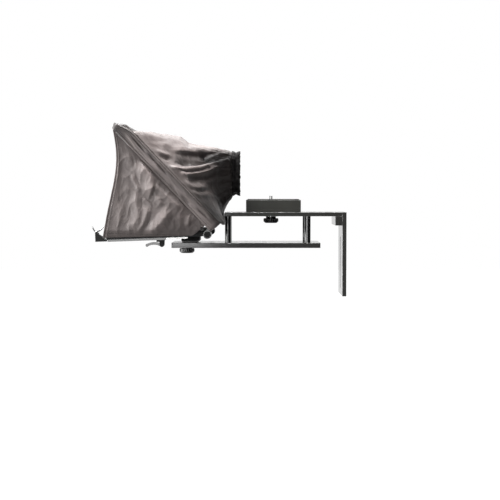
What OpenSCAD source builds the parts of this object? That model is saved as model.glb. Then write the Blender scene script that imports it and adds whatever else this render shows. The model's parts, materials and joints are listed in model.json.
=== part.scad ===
// Tablet teleprompter with a cloth hood, on a slotted camera riser.
// Millimetres. +Z is up, +X runs from the reader's side to the camera operator's side.
// The origin is the middle tripod thread, on the underside of the base plate.

/* [Base plate] */
// Length of the base plate along the rig
base_l = 292; // [280:1:340]
// Width of the base plate and of the camera plate
base_w = 120; // [112:1:150]
// Thickness of the base plate
base_t = 10; // [8:0.5:14]
// Corner radius of the plates
plate_r = 3; // [2:0.5:5]
// Distance between neighbouring tripod holes
tripod_pitch = 18; // [16:1:22]
// Tripod holes on each side of the middle one
tripod_side = 3; // [1:1:3]
// Radius of a tapped 3/8 inch hole
tripod_hole_r = 3.97; // [3.5:0.01:4.5]
// Radius of a tapped 1/4 inch hole
quarter_hole_r = 2.55; // [2.4:0.01:3.1]

/* [Camera riser] */
// Diameter of a riser post
post_d = 12; // [10:0.5:16]
// Height of a riser post
post_h = 52; // [46:1:70]
// Distance from a post's axis to the plates' long edge
post_edge = 12; // [9:0.5:16]
// Distance from the rear posts' axis to the base plate's rear end
post_rear_inset = 25; // [14:1:34]
// Length of the camera plate
camera_plate_l = 230; // [210:1:250]
// Thickness of the camera plate
camera_plate_t = 8; // [7:0.5:12]
// How far the camera plate starts ahead of the hood's collar
camera_plate_lead = 13; // [10:0.5:14]
// Distance from the camera plate's front end to the camera screw
camera_setback = 91; // [84:1:98]
// Travel of the camera screw towards the hood
camera_travel_front = 20; // [10:1:22]
// Travel of the camera screw towards the rear
camera_travel_rear = 40; // [20:1:50]
// Width of the camera screw's slot
camera_slot_w = 10; // [9:0.5:14]
// Radius of the 1/4 inch camera screw
camera_stud_r = 3.1; // [2.9:0.01:3.2]
// Length of camera screw that stands above the pad
camera_stud_out = 6; // [4:0.5:9]
// Length of the riser block under the camera
riser_l = 108; // [90:1:120]
// Width of the riser block
riser_w = 80; // [60:1:100]
// Height of the riser block
riser_h = 24; // [16:1:26]
// Thickness of the rubber pad on the riser block
riser_pad_t = 1.5; // [1:0.5:2.5]

/* [Rear plate] */
// Thickness of the rear plate
rear_plate_t = 8; // [6:0.5:12]
// Height of the rear plate
rear_plate_h = 165; // [140:1:190]
// Width of the rear plate's slot
rear_slot_w = 10; // [6:0.5:16]
// Distance from the rear plate's top to its slot
rear_slot_top = 48; // [40:1:60]
// Distance from the rear plate's foot to its slot
rear_slot_foot = 12; // [8:1:30]
// Length of the corner block under the camera plate
corner_l = 14; // [14:1:24]
// Height of the corner block
corner_h = 18; // [14:1:30]

/* [Clamp knobs] */
// Diameter of a clamp knob
knob_d = 30; // [26:1:36]
// Height of a clamp knob's rim
knob_h = 9.5; // [8:0.5:14]
// Flutes round a clamp knob
knob_flutes = 18; // [12:1:24]
// Diameter of the washers under the clamp knobs
washer_d = 22; // [18:1:24]
// Thickness of the washers
washer_t = 1.5; // [1:0.1:2.5]
// Radius of the tray's clamp screw
tray_stud_r = 4; // [3.5:0.1:4.5]

/* [Tray] */
// Height of the tray's foot at its clamp screw
foot_h = 14; // [12:0.5:20]
// Thickness of the foot's friction pad
foot_pad_t = 3; // [2:0.5:4]
// Width of the foot
foot_w = 60; // [46:1:80]
// Reach of the foot ahead of its clamp screw
foot_front = 10; // [9:0.5:13]
// Reach of the foot behind its clamp screw
foot_rear = 27; // [22:1:30]
// Distance from the base plate's front end to the clamp screw
stud_inset = 28; // [26:1:34]
// Travel of the tray along the base plate
tray_travel = 14; // [8:1:15]
// Slope of the tray, down towards the reader
tray_droop = 2; // [0:0.25:3]
// Length of the tray
tray_l = 182; // [170:1:200]
// Distance from the clamp screw to the tray's rear edge
tray_rear = 36; // [32:1:40]
// Thickness of the tray's floor
tray_t = 4; // [3:0.5:6]
// Thickness of the tray's side walls
wall_t = 3; // [2:0.5:4]
// Height of the tray's side walls, floor included
wall_h = 8; // [7:0.5:9]
// How far the tray's sides lie inside the mirror frame's sides
tray_inset = 7; // [6:0.5:8]
// Thickness of the hook tape on the tray's sides
tape_t = 1.2; // [0.8:0.1:1.6]

/* [Front stop] */
// Travel of the front stop
stop_travel = 40; // [20:1:40]
// Depth of the front stop's bar
stop_l = 18; // [14:1:24]
// Thickness of the front stop's bar above the tray's underside
stop_rise = 2.8; // [2:0.1:4]
// Thickness of the stop's lip and gussets
lip_t = 3; // [2:0.5:4]
// Height of the lip above the tray's underside
lip_h = 14; // [10:0.5:18]
// Length of the lip at each end of the stop
lip_tab = 26; // [20:1:40]
// Width of a sliding runner
runner_w = 18; // [14:1:22]
// Thickness of a sliding runner
runner_t = 3; // [2.5:0.5:5]
// Length of a sliding runner
runner_l = 154; // [150:1:156]
// Wall of the guides that hold the runners
guide_wall = 2.5; // [2:0.5:4]
// Length of a runner guide
guide_l = 112; // [108:1:116]
// Radius of the spring wire clips
clip_r = 1.25; // [0.8:0.05:1.6]
// Reach of a clip ahead of the lip
clip_front = 7; // [4:0.5:10]
// Reach of a clip behind the lip
clip_rear = 15; // [10:0.5:20]
// Height of a clip's ends above the lip
clip_rise = 11; // [6:0.5:14]

/* [Clamp lever] */
// Radius of the lever's cam
cam_r = 4.5; // [4:0.1:5.5]
// Radius of the lever's pin
lever_pin_r = 2; // [1.5:0.1:2.5]
// Width of the lever
lever_w = 9; // [7:0.5:10]
// Radius of the lever's arch, at its middle line
arch_r = 28; // [26:1:34]
// Thickness of the lever's arm
lever_t = 5; // [4:0.5:6]

/* [Mirror frame] */
// Slope of the mirror frame above the horizontal
mirror_angle = 46.5; // [42:0.5:48]
// Length of the mirror frame up its slope
frame_l = 268; // [250:1:290]
// Width of the mirror frame
frame_w = 280; // [260:1:300]
// Width of the frame's rails
rail_w = 14; // [12:0.5:18]
// Depth of the frame's rails, square to the glass
rail_h = 14; // [13.5:0.5:16]
// Distance from the hinge axis up the slope to the frame's lower end
frame_start = 1; // [0:0.5:3]
// Gap from the hinge axis to the frame's underside
frame_lift = 10; // [9.5:0.5:12]
// Thickness of the beam splitter glass
glass_t = 3; // [2:0.5:4]
// How deep the glass sits in the rails
glass_bite = 4; // [3:0.5:5]
// Distance from the tray's rear edge to the hinge axis
hinge_back = 9; // [9:0.5:11]
// Height of the hinge axis above the tray's underside
hinge_rise = 3; // [2:0.5:4]
// Radius of the hinge knuckles
hinge_r = 8; // [7:0.25:8.5]
// Radius of the hinge bolts
hinge_bolt_r = 4; // [3:0.1:5]
// Thickness of the tray's hinge ears
ear_t = 12; // [9:0.5:13]

/* [Hood] */
// Thickness of the hood's cloth
cloth_t = 1.4; // [1:0.1:1.8]
// Diameter of the collar round the lens
collar_d = 86; // [76:1:92]
// Length of the gathered collar
collar_l = 16; // [12:1:20]
// Distance from the hinge axis back to the collar's front
collar_reach = 45; // [42:1:50]
// Height of the collar's axis above the hinge axis
collar_rise = 118; // [112:1:124]
// Height of the gathers round the collar
gather_h = 2.2; // [1:0.1:3]
// Gathers round the collar
gather_count = 14; // [10:1:16]
// Thickness of the elastic in the collar
elastic_d = 3; // [2:0.1:4]
// Width of the cuff round the mirror frame
cuff_w = 24; // [22:0.5:28]
// Distance over which the cuff's top end slopes down
slump_l = 30; // [26:1:36]
// Height that the cuff loses at its top end
slump_h = 12; // [8:0.5:12.5]
// How far the sleeve draws in between its ends
sleeve_draw = 3.5; // [2:0.5:5]
// Height of the swags on the sleeve's sides
swag_h = 6; // [3:0.5:8]
// Rise of the sleeve's top behind the frame
sleeve_rise = 9; // [4:0.5:11]
// Sag of the sleeve's lower corners, beside the camera plate
sleeve_belly = 11; // [0:0.5:14]
// Depth of the side panels' folds
panel_fold = 5; // [2:0.5:7]
// Inward bow of the side panels' front hem
hem_bow = 11; // [4:1:14]

/* [Hidden] */

$fn = 64;
// Gap between pieces that move on each other
slide_gap = 0.3;
// Gap round a screw or a pin
screw_gap = 0.05;
// Overlap that lets a cut pass through a face
cut = 1;
// Overlap that joins two shapes of one piece
join = 0.1;

near = -1;
far = 1;

// Heights and places along the base
front_x = -base_l / 2;
stud_x = front_x + stud_inset;
tray_z = base_t + foot_h;
hinge_x = tray_rear + hinge_back;
pivot = tray_point([hinge_x, 0, hinge_rise]);
collar_x = pivot[0] + collar_reach;
collar_z = pivot[2] + collar_rise;
camera_plate_x = collar_x - camera_plate_lead;
camera_plate_z = base_t + post_h;
post_front_x = camera_plate_x + post_d / 2;
post_rear_x = base_l / 2 - post_rear_inset;
post_y = base_w / 2 - post_edge;
camera_x = camera_plate_x + camera_setback;
rear_plate_x = camera_plate_x + camera_plate_l;
camera_top_z = camera_plate_z + camera_plate_t;
riser_top_z = camera_top_z + riser_h + riser_pad_t;

// Screw sizes: shank and head radii, head heights and lengths
m4_r = 2;
m6_r = 2.5;
csk_r = 5.5;
csk_h = 3;
m4_csk_r = 4.5;
post_screw_l = base_t + camera_plate_t + 2;
post_bore_l = post_screw_l - min(base_t, camera_plate_t) + 2;
corner_y = base_w / 3;
corner_step = base_w / 10;
foot_screw_l = foot_h - 2;
ear_screw_l = tray_t + 5;
ear_csk_r = 4;
ear_csk_h = 2;
guide_screw_r = 0.9;
guide_screw_l = tray_t + 2.4;
guide_csk_r = 2.4;
guide_csk_h = 1.5;
runner_screw_r = 1.2;
runner_head_r = 1.45;
runner_head_h = 2;
runner_screw_l = stop_l + 8;
frame_screw_r = 1.25;
frame_head_r = 2;
frame_head_h = 2.5;
bolt_head_h = 3;
bolt_nut_r = hinge_bolt_r + 2.6;
bolt_head_r = hinge_bolt_r + 2;

// Camera screw: a threaded end on a thinner shank, so that the block keeps it
camera_shank_r = camera_stud_r - 0.5;
key_l = 30;
riser_x = camera_x - riser_l * 0.46;
riser_margin = 3;

// Tray
frame_half = frame_w / 2;
tray_half = frame_half - tray_inset;
tray_front = tray_rear - tray_l;
hinge_gap = 1;
hinge_washer_t = hinge_gap - 0.2;
ear_y = frame_half - rail_w - hinge_gap - ear_t;
ear_l = tray_rear - 5;
ear_front = hinge_x - ear_l;
ear_screw_inset = 5;
guide_inset = 9;
guide_floor_t = 1.2;
guide_screw_inset = 10;
guide_y = tray_half - guide_inset - runner_w - 2 * guide_wall;
guide_w = runner_w + 2 * guide_wall;
guide_h = runner_t + slide_gap + guide_floor_t;
runner_y = guide_y + guide_wall;
runner_drop = runner_t + slide_gap;
stop_gap = 1.5;
stop_rear = tray_front - stop_gap;
stop_front = stop_rear - stop_l;
lip_pad_t = 2;
rear_stop_t = 4;
rear_stop_h = wall_h - 1;
rear_stop_inset = hinge_back;
grip_w = runner_w - 4;
grip_t = 1;
grip_front = tray_front + grip_w;
grip_l = tray_l - 3 * runner_w;
tape_front = tray_front + 2 * wall_t;
tape_l = tray_l - 2 * wall_h;
tape_lift = 0.5;
tape_h = wall_h - 1;

// Clamp lever, in the tray's frame
lever_y = -(guide_y + guide_w / 2);
block_l = 15;
block_h = 3.5;
block_inset = 4;
block_x = tray_front + guide_l - block_l - block_inset;
cheek_t = 4;
block_w = lever_w + 2 * slide_gap + 2 * cheek_t;
lever_x = block_x + block_l - 5;
lever_z = -guide_h - block_h - cam_r - cut;
arch_dx = -16;
arch_drop = 2.4;
tip_angle = 117;
tip_grow = 0.4;
shoe_r = 3;
shoe_gap = 0.2;

// Mirror frame: its own frame has the hinge axis at the origin and runs up the slope along -X
frame_low = -frame_start;
frame_high = frame_low - frame_l;
rail_y = frame_half - rail_w;
glass_gap = 0.1;
glass_z = frame_lift + 4.2;
glass_x0 = frame_high + rail_w - glass_bite;
glass_x1 = frame_low - rail_w + glass_bite;
cuff_gap = slide_gap;
cuff_over = 1.5;
cuff_low = frame_lift - cuff_over;
cuff_high = cuff_low + cuff_w;
cuff_half = frame_half + cuff_gap + cloth_t;
cuff_end = frame_high - cuff_gap - cloth_t;
slump_angle = atan2(slump_h, slump_l);
frame_screw_drop = 3.8;
frame_screw_inset = rail_w * 0.7;
frame_screw_l = rail_w + 6;

// Sleeve: how fast its corners round off, the angles of its swags above its widest line at the frame,
// their climb to the collar, and where its top is highest and level again
corner_fade = 10;
swag_angles = [4, -17];
hollow_angle = 30;
hollow_share = 0.8;
swag_spread = 8;
swag_climb = 38;
rise_v = 0.36;
level_v = 0.45;
belly_from = base_w / 2 + 4;
belly_fade = 18;
belly_power = 0.4;

// Knobs
knob_neck_h = 3;
tray_neck_h = 1;
knob_neck_d = 20;
knob_edge = 1.5;
knob_cap_t = 3;
knob_gap = 0.1;
flute_r = 1.6;
flute_out = 0.6;

// Side panels: their edges along the frame and the tray
panel_y_top = frame_half - cloth_t;
panel_y_low = tray_half + tape_t + cloth_t / 2 + slide_gap;
panel_top_rear = frame_low - 25;
panel_low_rear = tray_rear - 20;
panel_low_front = tray_front - wall_h;

// Cloth grids: rows and columns of a panel, rings and sides of the sleeve
panel_rows = 15;
panel_cols = 22;
sleeve_rings = 13;
sleeve_sides = 48;
collar_rings = 5;
collar_sides = gather_count * 5;
clip_rings = 18;
clip_sides = 12;

// A point of the sloping tray's frame, in the rig's frame
function tray_point(p) = [stud_x + p[0] * cos(tray_droop) - p[2] * sin(tray_droop), p[1],
    tray_z + p[0] * sin(tray_droop) + p[2] * cos(tray_droop)];
// A point of the mirror frame's own frame, in the rig's frame
function frame_point(p) = [pivot[0] + p[0] * cos(mirror_angle) + p[2] * sin(mirror_angle), p[1],
    pivot[2] - p[0] * sin(mirror_angle) + p[2] * cos(mirror_angle)];
function mix(a, b, t) = a + (b - a) * t;
function flat(rows) = [for (row = rows) each row];
function quad(a, b, c, d) = [[a, b, c], [a, c, d]];

// Puts children that are drawn in the tray's frame in place
module on_tray() {
    translate([stud_x, 0, tray_z]) rotate([0, -tray_droop, 0]) children();
}

// Puts children that are drawn in the mirror frame's own frame in place
module on_frame() {
    translate(pivot) rotate([0, mirror_angle, 0]) children();
}

// A flat plate with rounded corners, from one corner
module rounded_plate(l, w, t, r) {
    translate([r, 0, 0]) cube([l - 2 * r, w, t]);
    translate([0, r, 0]) cube([l, w - 2 * r, t]);
    for (x = [r, l - r], y = [r, w - r]) translate([x, y, 0]) cylinder(r = r, h = t);
}

// A slot along X between the axes x0 and x1
module slot(x0, x1, w, h) {
    for (x = [x0, x1]) translate([x, 0, 0]) cylinder(r = w / 2, h = h);
    translate([x0, -w / 2, 0]) cube([x1 - x0, w, h]);
}

// A countersunk screw whose head's top is at the origin and whose shank runs down
module countersunk(r, l, head_r, head_h, grow = 0) {
    translate([0, 0, -head_h]) cylinder(r1 = r + grow, r2 = head_r + grow, h = head_h);
    translate([0, 0, -l - grow]) cylinder(r = r + grow, h = l + grow - head_h + join);
}

// A socket cap screw whose head's seat is at the origin and whose shank runs down
module cap_screw(r, l, head_r, head_h) {
    difference() {
        cylinder(r = head_r, h = head_h);
        translate([0, 0, head_h / 2]) cylinder(r = r * 0.9, h = head_h, $fn = 6);
    }
    translate([0, 0, -l]) cylinder(r = r, h = l + join);
}

// A fluted clamp knob, its neck's top at the origin, bored for its screw
module clamp_knob(stud_r, neck_h) {
    difference() {
        union() {
            translate([0, 0, -neck_h]) cylinder(d = knob_neck_d, h = neck_h);
            translate([0, 0, -neck_h - knob_h]) rotate_extrude()
                polygon([[0, 0], [knob_d / 2 - 2 * knob_edge, 0], [knob_d / 2, 2 * knob_edge],
                    [knob_d / 2, knob_h - knob_edge], [knob_d / 2 - knob_edge, knob_h], [0, knob_h]]);
        }
        for (i = [0 : knob_flutes - 1]) rotate(i * 360 / knob_flutes)
            translate([knob_d / 2 + flute_out, 0, -neck_h - knob_h - cut])
                cylinder(r = flute_r, h = knob_h + 2 * cut, $fn = 24);
        translate([0, 0, -neck_h - knob_h + knob_cap_t])
            cylinder(r = stud_r + screw_gap, h = knob_h + neck_h);
    }
}

// A cloth sheet as one closed solid between two grids of points
module cloth(outer, inner, wrap) {
    rows = len(outer);
    cols = len(outer[0]);
    last = wrap ? cols - 1 : cols - 2;
    function out(i, j) = i * cols + j % cols;
    function in(i, j) = rows * cols + out(i, j);
    skins = [for (i = [0 : rows - 2], j = [0 : last]) each concat(
        quad(out(i, j), out(i, j + 1), out(i + 1, j + 1), out(i + 1, j)),
        quad(in(i, j), in(i + 1, j), in(i + 1, j + 1), in(i, j + 1)))];
    rims = [for (j = [0 : last]) each concat(
        quad(out(0, j), in(0, j), in(0, j + 1), out(0, j + 1)),
        quad(out(rows - 1, j), out(rows - 1, j + 1), in(rows - 1, j + 1), in(rows - 1, j)))];
    ends = wrap ? [] : [for (i = [0 : rows - 2]) each concat(
        quad(out(i, 0), out(i + 1, 0), in(i + 1, 0), in(i, 0)),
        quad(out(i, cols - 1), in(i, cols - 1), in(i + 1, cols - 1), out(i + 1, cols - 1)))];
    polyhedron(concat(flat(outer), flat(inner)), concat(skins, rims, ends));
}

// Base plate with its tripod holes and the slot for the tray's clamp screw
module base_plate() {
    color("dimgray") difference() {
        translate([front_x, -base_w / 2, 0]) rounded_plate(base_l, base_w, base_t, plate_r);
        for (i = [-tripod_side : tripod_side]) translate([i * tripod_pitch, 0, -cut])
            cylinder(r = i % 2 == 0 ? tripod_hole_r : quarter_hole_r, h = base_t + 2 * cut);
        translate([0, 0, -cut])
            slot(stud_x - tray_travel, stud_x, 2 * (tray_stud_r + slide_gap), base_t + 2 * cut);
        post_places() rotate([180, 0, 0]) countersunk(m6_r, post_screw_l, csk_r, csk_h, screw_gap);
    }
}

module post_places() {
    for (x = [post_front_x, post_rear_x], y = [-post_y, post_y]) translate([x, y, 0]) children();
}

module riser_post(x, side) {
    color("black") translate([x, side * post_y, base_t]) difference() {
        cylinder(d = post_d, h = post_h);
        for (z = [-cut, post_h - post_bore_l]) translate([0, 0, z])
            cylinder(r = m6_r + screw_gap, h = post_bore_l + cut);
    }
}

module post_screws_lower() {
    color("silver") post_places() rotate([180, 0, 0]) countersunk(m6_r, post_screw_l, csk_r, csk_h);
}

module post_screws_upper() {
    color("silver") translate([0, 0, camera_top_z]) post_places()
        countersunk(m6_r, post_screw_l, csk_r, csk_h);
}

// Camera plate on the posts, with the camera screw's slot
module camera_plate() {
    color("dimgray") difference() {
        translate([camera_plate_x, -base_w / 2, camera_plate_z])
            cube([camera_plate_l, base_w, camera_plate_t]);
        translate([0, 0, camera_plate_z - cut]) slot(camera_x - camera_travel_front - key_l / 2,
            camera_x + camera_travel_rear + key_l / 2, camera_slot_w, camera_plate_t + 2 * cut);
        translate([0, 0, camera_top_z]) post_places()
            countersunk(m6_r, post_screw_l, csk_r, csk_h, screw_gap);
        corner_top_places() countersunk(m4_r, corner_h, m4_csk_r, csk_h, screw_gap);
    }
}

module corner_top_places() {
    for (y = [-corner_y, corner_y])
        translate([rear_plate_x - corner_l / 2, y, camera_top_z]) children();
}

module corner_rear_places() {
    for (y = [corner_step - corner_y, corner_y - corner_step])
        translate([rear_plate_x + rear_plate_t, y, camera_plate_z - corner_h / 2])
            rotate([0, 90, 0]) children();
}

// Rear plate that hangs from the camera plate's end, with an accessory slot
module rear_plate() {
    slot_top = camera_top_z - rear_slot_top - rear_slot_w / 2;
    slot_foot = camera_top_z - rear_plate_h + rear_slot_foot + rear_slot_w / 2;
    color("dimgray") difference() {
        translate([rear_plate_x, -base_w / 2, camera_top_z - rear_plate_h])
            cube([rear_plate_t, base_w, rear_plate_h]);
        translate([rear_plate_x - cut, 0, 0]) rotate([0, 90, 0])
            slot(-slot_top, -slot_foot, rear_slot_w, rear_plate_t + 2 * cut);
        corner_rear_places() countersunk(m4_r, corner_l, m4_csk_r, csk_h, screw_gap);
    }
}

module corner_block() {
    color("dimgray") difference() {
        translate([rear_plate_x - corner_l, -base_w / 2, camera_plate_z - corner_h])
            cube([corner_l, base_w, corner_h]);
        corner_top_places() countersunk(m4_r, corner_h, m4_csk_r, csk_h, screw_gap);
        corner_rear_places() countersunk(m4_r, corner_l, m4_csk_r, csk_h, screw_gap);
    }
}

module corner_screws() {
    color("silver") {
        corner_top_places() countersunk(m4_r, corner_h, m4_csk_r, csk_h);
        corner_rear_places() countersunk(m4_r, corner_l, m4_csk_r, csk_h);
    }
}

// Riser block under the camera, keyed into the camera plate's slot
module riser_block() {
    key_w = camera_slot_w - 2 * slide_gap;
    key_h = camera_plate_t / 2;
    color("darkslategray") difference() {
        union() {
            translate([riser_x, -riser_w / 2, camera_top_z]) cube([riser_l, riser_w, riser_h]);
            translate([0, 0, camera_top_z - key_h])
                slot(camera_x - key_l / 2, camera_x + key_l / 2, key_w, key_h + join);
        }
        translate([camera_x, 0, camera_top_z - key_h - cut])
            cylinder(r = camera_stud_r + screw_gap, h = riser_h + key_h + 2 * cut);
    }
}

module riser_pad() {
    color("black") difference() {
        translate([riser_x + riser_margin, -riser_w / 2 + riser_margin, camera_top_z + riser_h])
            cube([riser_l - 2 * riser_margin, riser_w - 2 * riser_margin, riser_pad_t]);
        translate([camera_x, 0, camera_top_z + riser_h - cut])
            cylinder(r = camera_stud_r + slide_gap, h = riser_pad_t + 2 * cut);
    }
}

module washer(r) {
    difference() {
        cylinder(d = washer_d, h = washer_t);
        translate([0, 0, -cut]) cylinder(r = r + slide_gap, h = washer_t + 2 * cut);
    }
}

module camera_washer() {
    color("silver") translate([camera_x, 0, camera_plate_z - washer_t]) washer(camera_stud_r);
}

module camera_knob() {
    color("black") translate([camera_x, 0, camera_plate_z - washer_t - knob_gap])
        clamp_knob(camera_shank_r, knob_neck_h);
}

// Height of a screw's lower end in a knob whose neck's top is at z
function stud_low(z, neck_h) = z - neck_h - knob_h + knob_cap_t + knob_gap;

module camera_stud() {
    low = stud_low(camera_plate_z - washer_t - knob_gap, knob_neck_h);
    thread_z = riser_top_z + slide_gap;
    color("silver") translate([camera_x, 0, 0]) {
        translate([0, 0, low]) cylinder(r = camera_shank_r, h = thread_z - low + join);
        translate([0, 0, thread_z]) cylinder(r = camera_stud_r, h = camera_stud_out);
    }
}

// Foot that carries the tray on the base plate, its top cut to the tray's slope
module tray_foot() {
    color("black") difference() {
        translate([stud_x, foot_w / 2, 0]) rotate([90, 0, 0]) linear_extrude(foot_w)
            polygon([[-foot_front, base_t + foot_pad_t], [foot_rear, base_t + foot_pad_t],
                [foot_rear, tray_z + foot_rear * tan(tray_droop)],
                [-foot_front, tray_z - foot_front * tan(tray_droop)]]);
        translate([stud_x, 0, base_t]) cylinder(r = tray_stud_r + screw_gap, h = foot_screw_l);
        foot_screw_places() countersunk(m4_r, foot_screw_l, m4_csk_r, csk_h, screw_gap);
    }
}

module foot_pad() {
    margin = 1.5;
    color("gray") difference() {
        translate([stud_x - foot_front + margin, -foot_w / 2 + margin, base_t])
            cube([foot_front + foot_rear - 4 * margin, foot_w - 2 * margin, foot_pad_t]);
        translate([stud_x, 0, base_t - cut]) cylinder(r = tray_stud_r + slide_gap, h = foot_pad_t + 2 * cut);
    }
}

module foot_screw_places() {
    on_tray() for (y = [-foot_w / 3, foot_w / 3]) translate([foot_rear / 2, y, tray_t]) children();
}

module foot_screws() {
    color("silver") foot_screw_places() countersunk(m4_r, foot_screw_l, m4_csk_r, csk_h);
}

module tray_washer() {
    color("silver") translate([stud_x, 0, -washer_t]) washer(tray_stud_r);
}

module tray_knob() {
    color("black") translate([stud_x, 0, -washer_t - knob_gap]) clamp_knob(tray_stud_r, tray_neck_h);
}

module tray_stud() {
    low = stud_low(-washer_t - knob_gap, tray_neck_h);
    color("silver") translate([stud_x, 0, low])
        cylinder(r = tray_stud_r, h = base_t + foot_screw_l - cut - low);
}

// Tablet tray: a floor with two low side walls
module tray_plate() {
    color("dimgray") difference() {
        on_tray() {
            translate([tray_front, -tray_half, 0]) cube([tray_l, 2 * tray_half, tray_t]);
            for (y = [-tray_half, tray_half - wall_t])
                translate([tray_front, y, 0]) cube([tray_l, wall_t, wall_h]);
        }
        foot_screw_places() countersunk(m4_r, foot_screw_l, m4_csk_r, csk_h, screw_gap);
        ear_screw_shapes(screw_gap);
        guide_screw_places() countersunk(guide_screw_r, guide_screw_l, guide_csk_r, guide_csk_h, screw_gap);
    }
}

// Raised stop behind the tablet
module rear_stop() {
    color("black") on_tray() translate([tray_rear - rear_stop_inset, -tray_half * 0.65, tray_t])
        cube([rear_stop_t, tray_half * 1.3, rear_stop_h]);
}

// Rubber strips the tablet lies on
module grip_strips() {
    color("black") on_tray() for (y = [-tray_half * 0.5, tray_half * 0.5])
        translate([grip_front, y - grip_w / 2, tray_t]) cube([grip_l, grip_w, grip_t]);
}

module hook_tape(side) {
    color("black") on_tray()
        translate([tape_front, side > 0 ? tray_half : -tray_half - tape_t, tape_lift])
            cube([tape_l, tape_t, tape_h]);
}

// Hinge ear on the tray's rear edge
module hinge_ear(side) {
    color("black") difference() {
        on_tray() translate([0, side * (ear_y + ear_t / 2) + ear_t / 2, 0]) rotate([90, 0, 0])
            linear_extrude(ear_t) {
                translate([ear_front, tray_t]) square([hinge_x - ear_front, hinge_rise + hinge_r - tray_t]);
                translate([hinge_x, hinge_rise]) circle(r = hinge_r);
            }
        on_tray() translate([hinge_x, side * (ear_y + ear_t / 2) + ear_t, hinge_rise]) rotate([90, 0, 0])
            cylinder(r = hinge_bolt_r + screw_gap, h = 2 * ear_t);
        ear_screw_shapes(screw_gap);
    }
}

module ear_screw_places() {
    on_tray() for (x = [ear_front + ear_screw_inset, tray_rear - ear_screw_inset], side = [near, far])
        translate([x, side * (ear_y + ear_t / 2), 0]) children();
}

module ear_screw_shapes(grow = 0) {
    ear_screw_places() rotate([180, 0, 0]) countersunk(m4_r, ear_screw_l, ear_csk_r, ear_csk_h, grow);
}

module hinge_ear_screws() {
    color("silver") ear_screw_shapes();
}

// Hinge bolt through the ear and the mirror frame's lug, head outside and nut inside
module hinge_bolt(side) {
    inside = ear_y - bolt_head_h - hinge_gap / 5;
    outside = frame_half + slide_gap;
    color("silver") on_tray() translate([hinge_x, 0, hinge_rise]) rotate([-90 * side, 0, 0]) difference() {
        union() {
            translate([0, 0, inside]) cylinder(r = bolt_nut_r, h = bolt_head_h, $fn = 6);
            translate([0, 0, inside]) cylinder(r = hinge_bolt_r, h = outside - inside + join);
            translate([0, 0, outside]) cylinder(r = bolt_head_r, h = bolt_head_h);
        }
        translate([0, 0, outside + bolt_head_h / 3])
            cylinder(r = hinge_bolt_r * 0.75, h = bolt_head_h, $fn = 6);
    }
}

module hinge_washers() {
    color("white") on_tray() for (side = [near, far])
        translate([hinge_x, side * (ear_y + ear_t + hinge_gap / 2), hinge_rise]) rotate([90, 0, 0])
            difference() {
                cylinder(r = hinge_r - hinge_gap / 2, h = hinge_washer_t, center = true);
                cylinder(r = hinge_bolt_r + screw_gap, h = hinge_washer_t + 2 * cut, center = true);
            }
}

// Channel under the tray that guides a runner of the front stop
module runner_guide(side) {
    color("dimgray") difference() {
        on_tray() difference() {
            translate([tray_front, side > 0 ? guide_y : -guide_y - guide_w, -guide_h])
                cube([guide_l, guide_w, guide_h]);
            translate([tray_front - cut, side * (runner_y + runner_w / 2) - runner_w / 2 - slide_gap,
                -runner_drop - screw_gap])
                cube([guide_l + 2 * cut, runner_w + 2 * slide_gap, runner_drop + cut]);
        }
        if (side == near) shoe_hole();
        guide_screw_places() countersunk(guide_screw_r, guide_screw_l, guide_csk_r, guide_csk_h, screw_gap);
    }
}

module guide_screw_places() {
    on_tray() for (x = [guide_screw_inset, guide_l - guide_screw_inset], side = [near, far],
        y = [guide_y + guide_wall / 2, guide_y + guide_w - guide_wall / 2])
        translate([tray_front + x, side * y, tray_t]) children();
}

module guide_screws() {
    color("silver") guide_screw_places()
        countersunk(guide_screw_r, guide_screw_l, guide_csk_r, guide_csk_h);
}

module shoe_hole() {
    on_tray() translate([lever_x, lever_y, lever_z])
        cylinder(r = shoe_r + screw_gap, h = -lever_z - runner_drop);
}

// Block that hangs under the near guide and carries the clamp lever
module clamp_block() {
    color("black") difference() {
        on_tray() {
            translate([block_x, lever_y - block_w / 2, -guide_h - block_h]) cube([block_l, block_w, block_h]);
            for (y = [lever_y - block_w / 2 + cheek_t, lever_y + block_w / 2])
                translate([lever_x, y, lever_z]) rotate([90, 0, 0]) linear_extrude(cheek_t) {
                    circle(r = cam_r);
                    translate([-cam_r, 0]) square([2 * cam_r, -guide_h - lever_z]);
                }
        }
        shoe_hole();
        on_tray() translate([lever_x, lever_y + block_w, lever_z]) rotate([90, 0, 0])
            cylinder(r = lever_pin_r + screw_gap, h = 2 * block_w);
    }
}

// Shoe that the cam presses against the runner
module clamp_shoe() {
    low = lever_z + cam_r + slide_gap;
    color("white") on_tray() translate([lever_x, lever_y, low])
        cylinder(r = shoe_r, h = -runner_drop - shoe_gap - low);
}

module lever_pin() {
    color("silver") on_tray() translate([lever_x, lever_y + block_w / 2 + cut / 2, lever_z])
        rotate([90, 0, 0]) cylinder(r = lever_pin_r, h = block_w + cut);
}

// Cam lever with an arched finger arm
module clamp_lever() {
    arch_z = -sqrt(arch_r * arch_r - arch_dx * arch_dx) - arch_drop;
    root = atan2(-arch_z, -arch_dx);
    color("dimgray") on_tray() translate([lever_x, lever_y + lever_w / 2, lever_z]) rotate([90, 0, 0])
    difference() {
        union() {
            cylinder(r = cam_r, h = lever_w);
            translate([arch_dx, arch_z, 0]) linear_extrude(lever_w) {
                intersection() {
                    difference() {
                        circle(r = arch_r + lever_t / 2);
                        circle(r = arch_r - lever_t / 2);
                    }
                    polygon([[0, 0], 3 * arch_r * [cos(root), sin(root)], 3 * arch_r * [cos(90), sin(90)],
                        3 * arch_r * [cos(tip_angle), sin(tip_angle)]]);
                }
                translate(arch_r * [cos(tip_angle), sin(tip_angle)]) circle(r = lever_t / 2 + tip_grow);
            }
        }
        translate([0, 0, -cut]) cylinder(r = lever_pin_r + screw_gap, h = lever_w + 2 * cut);
    }
}

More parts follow.
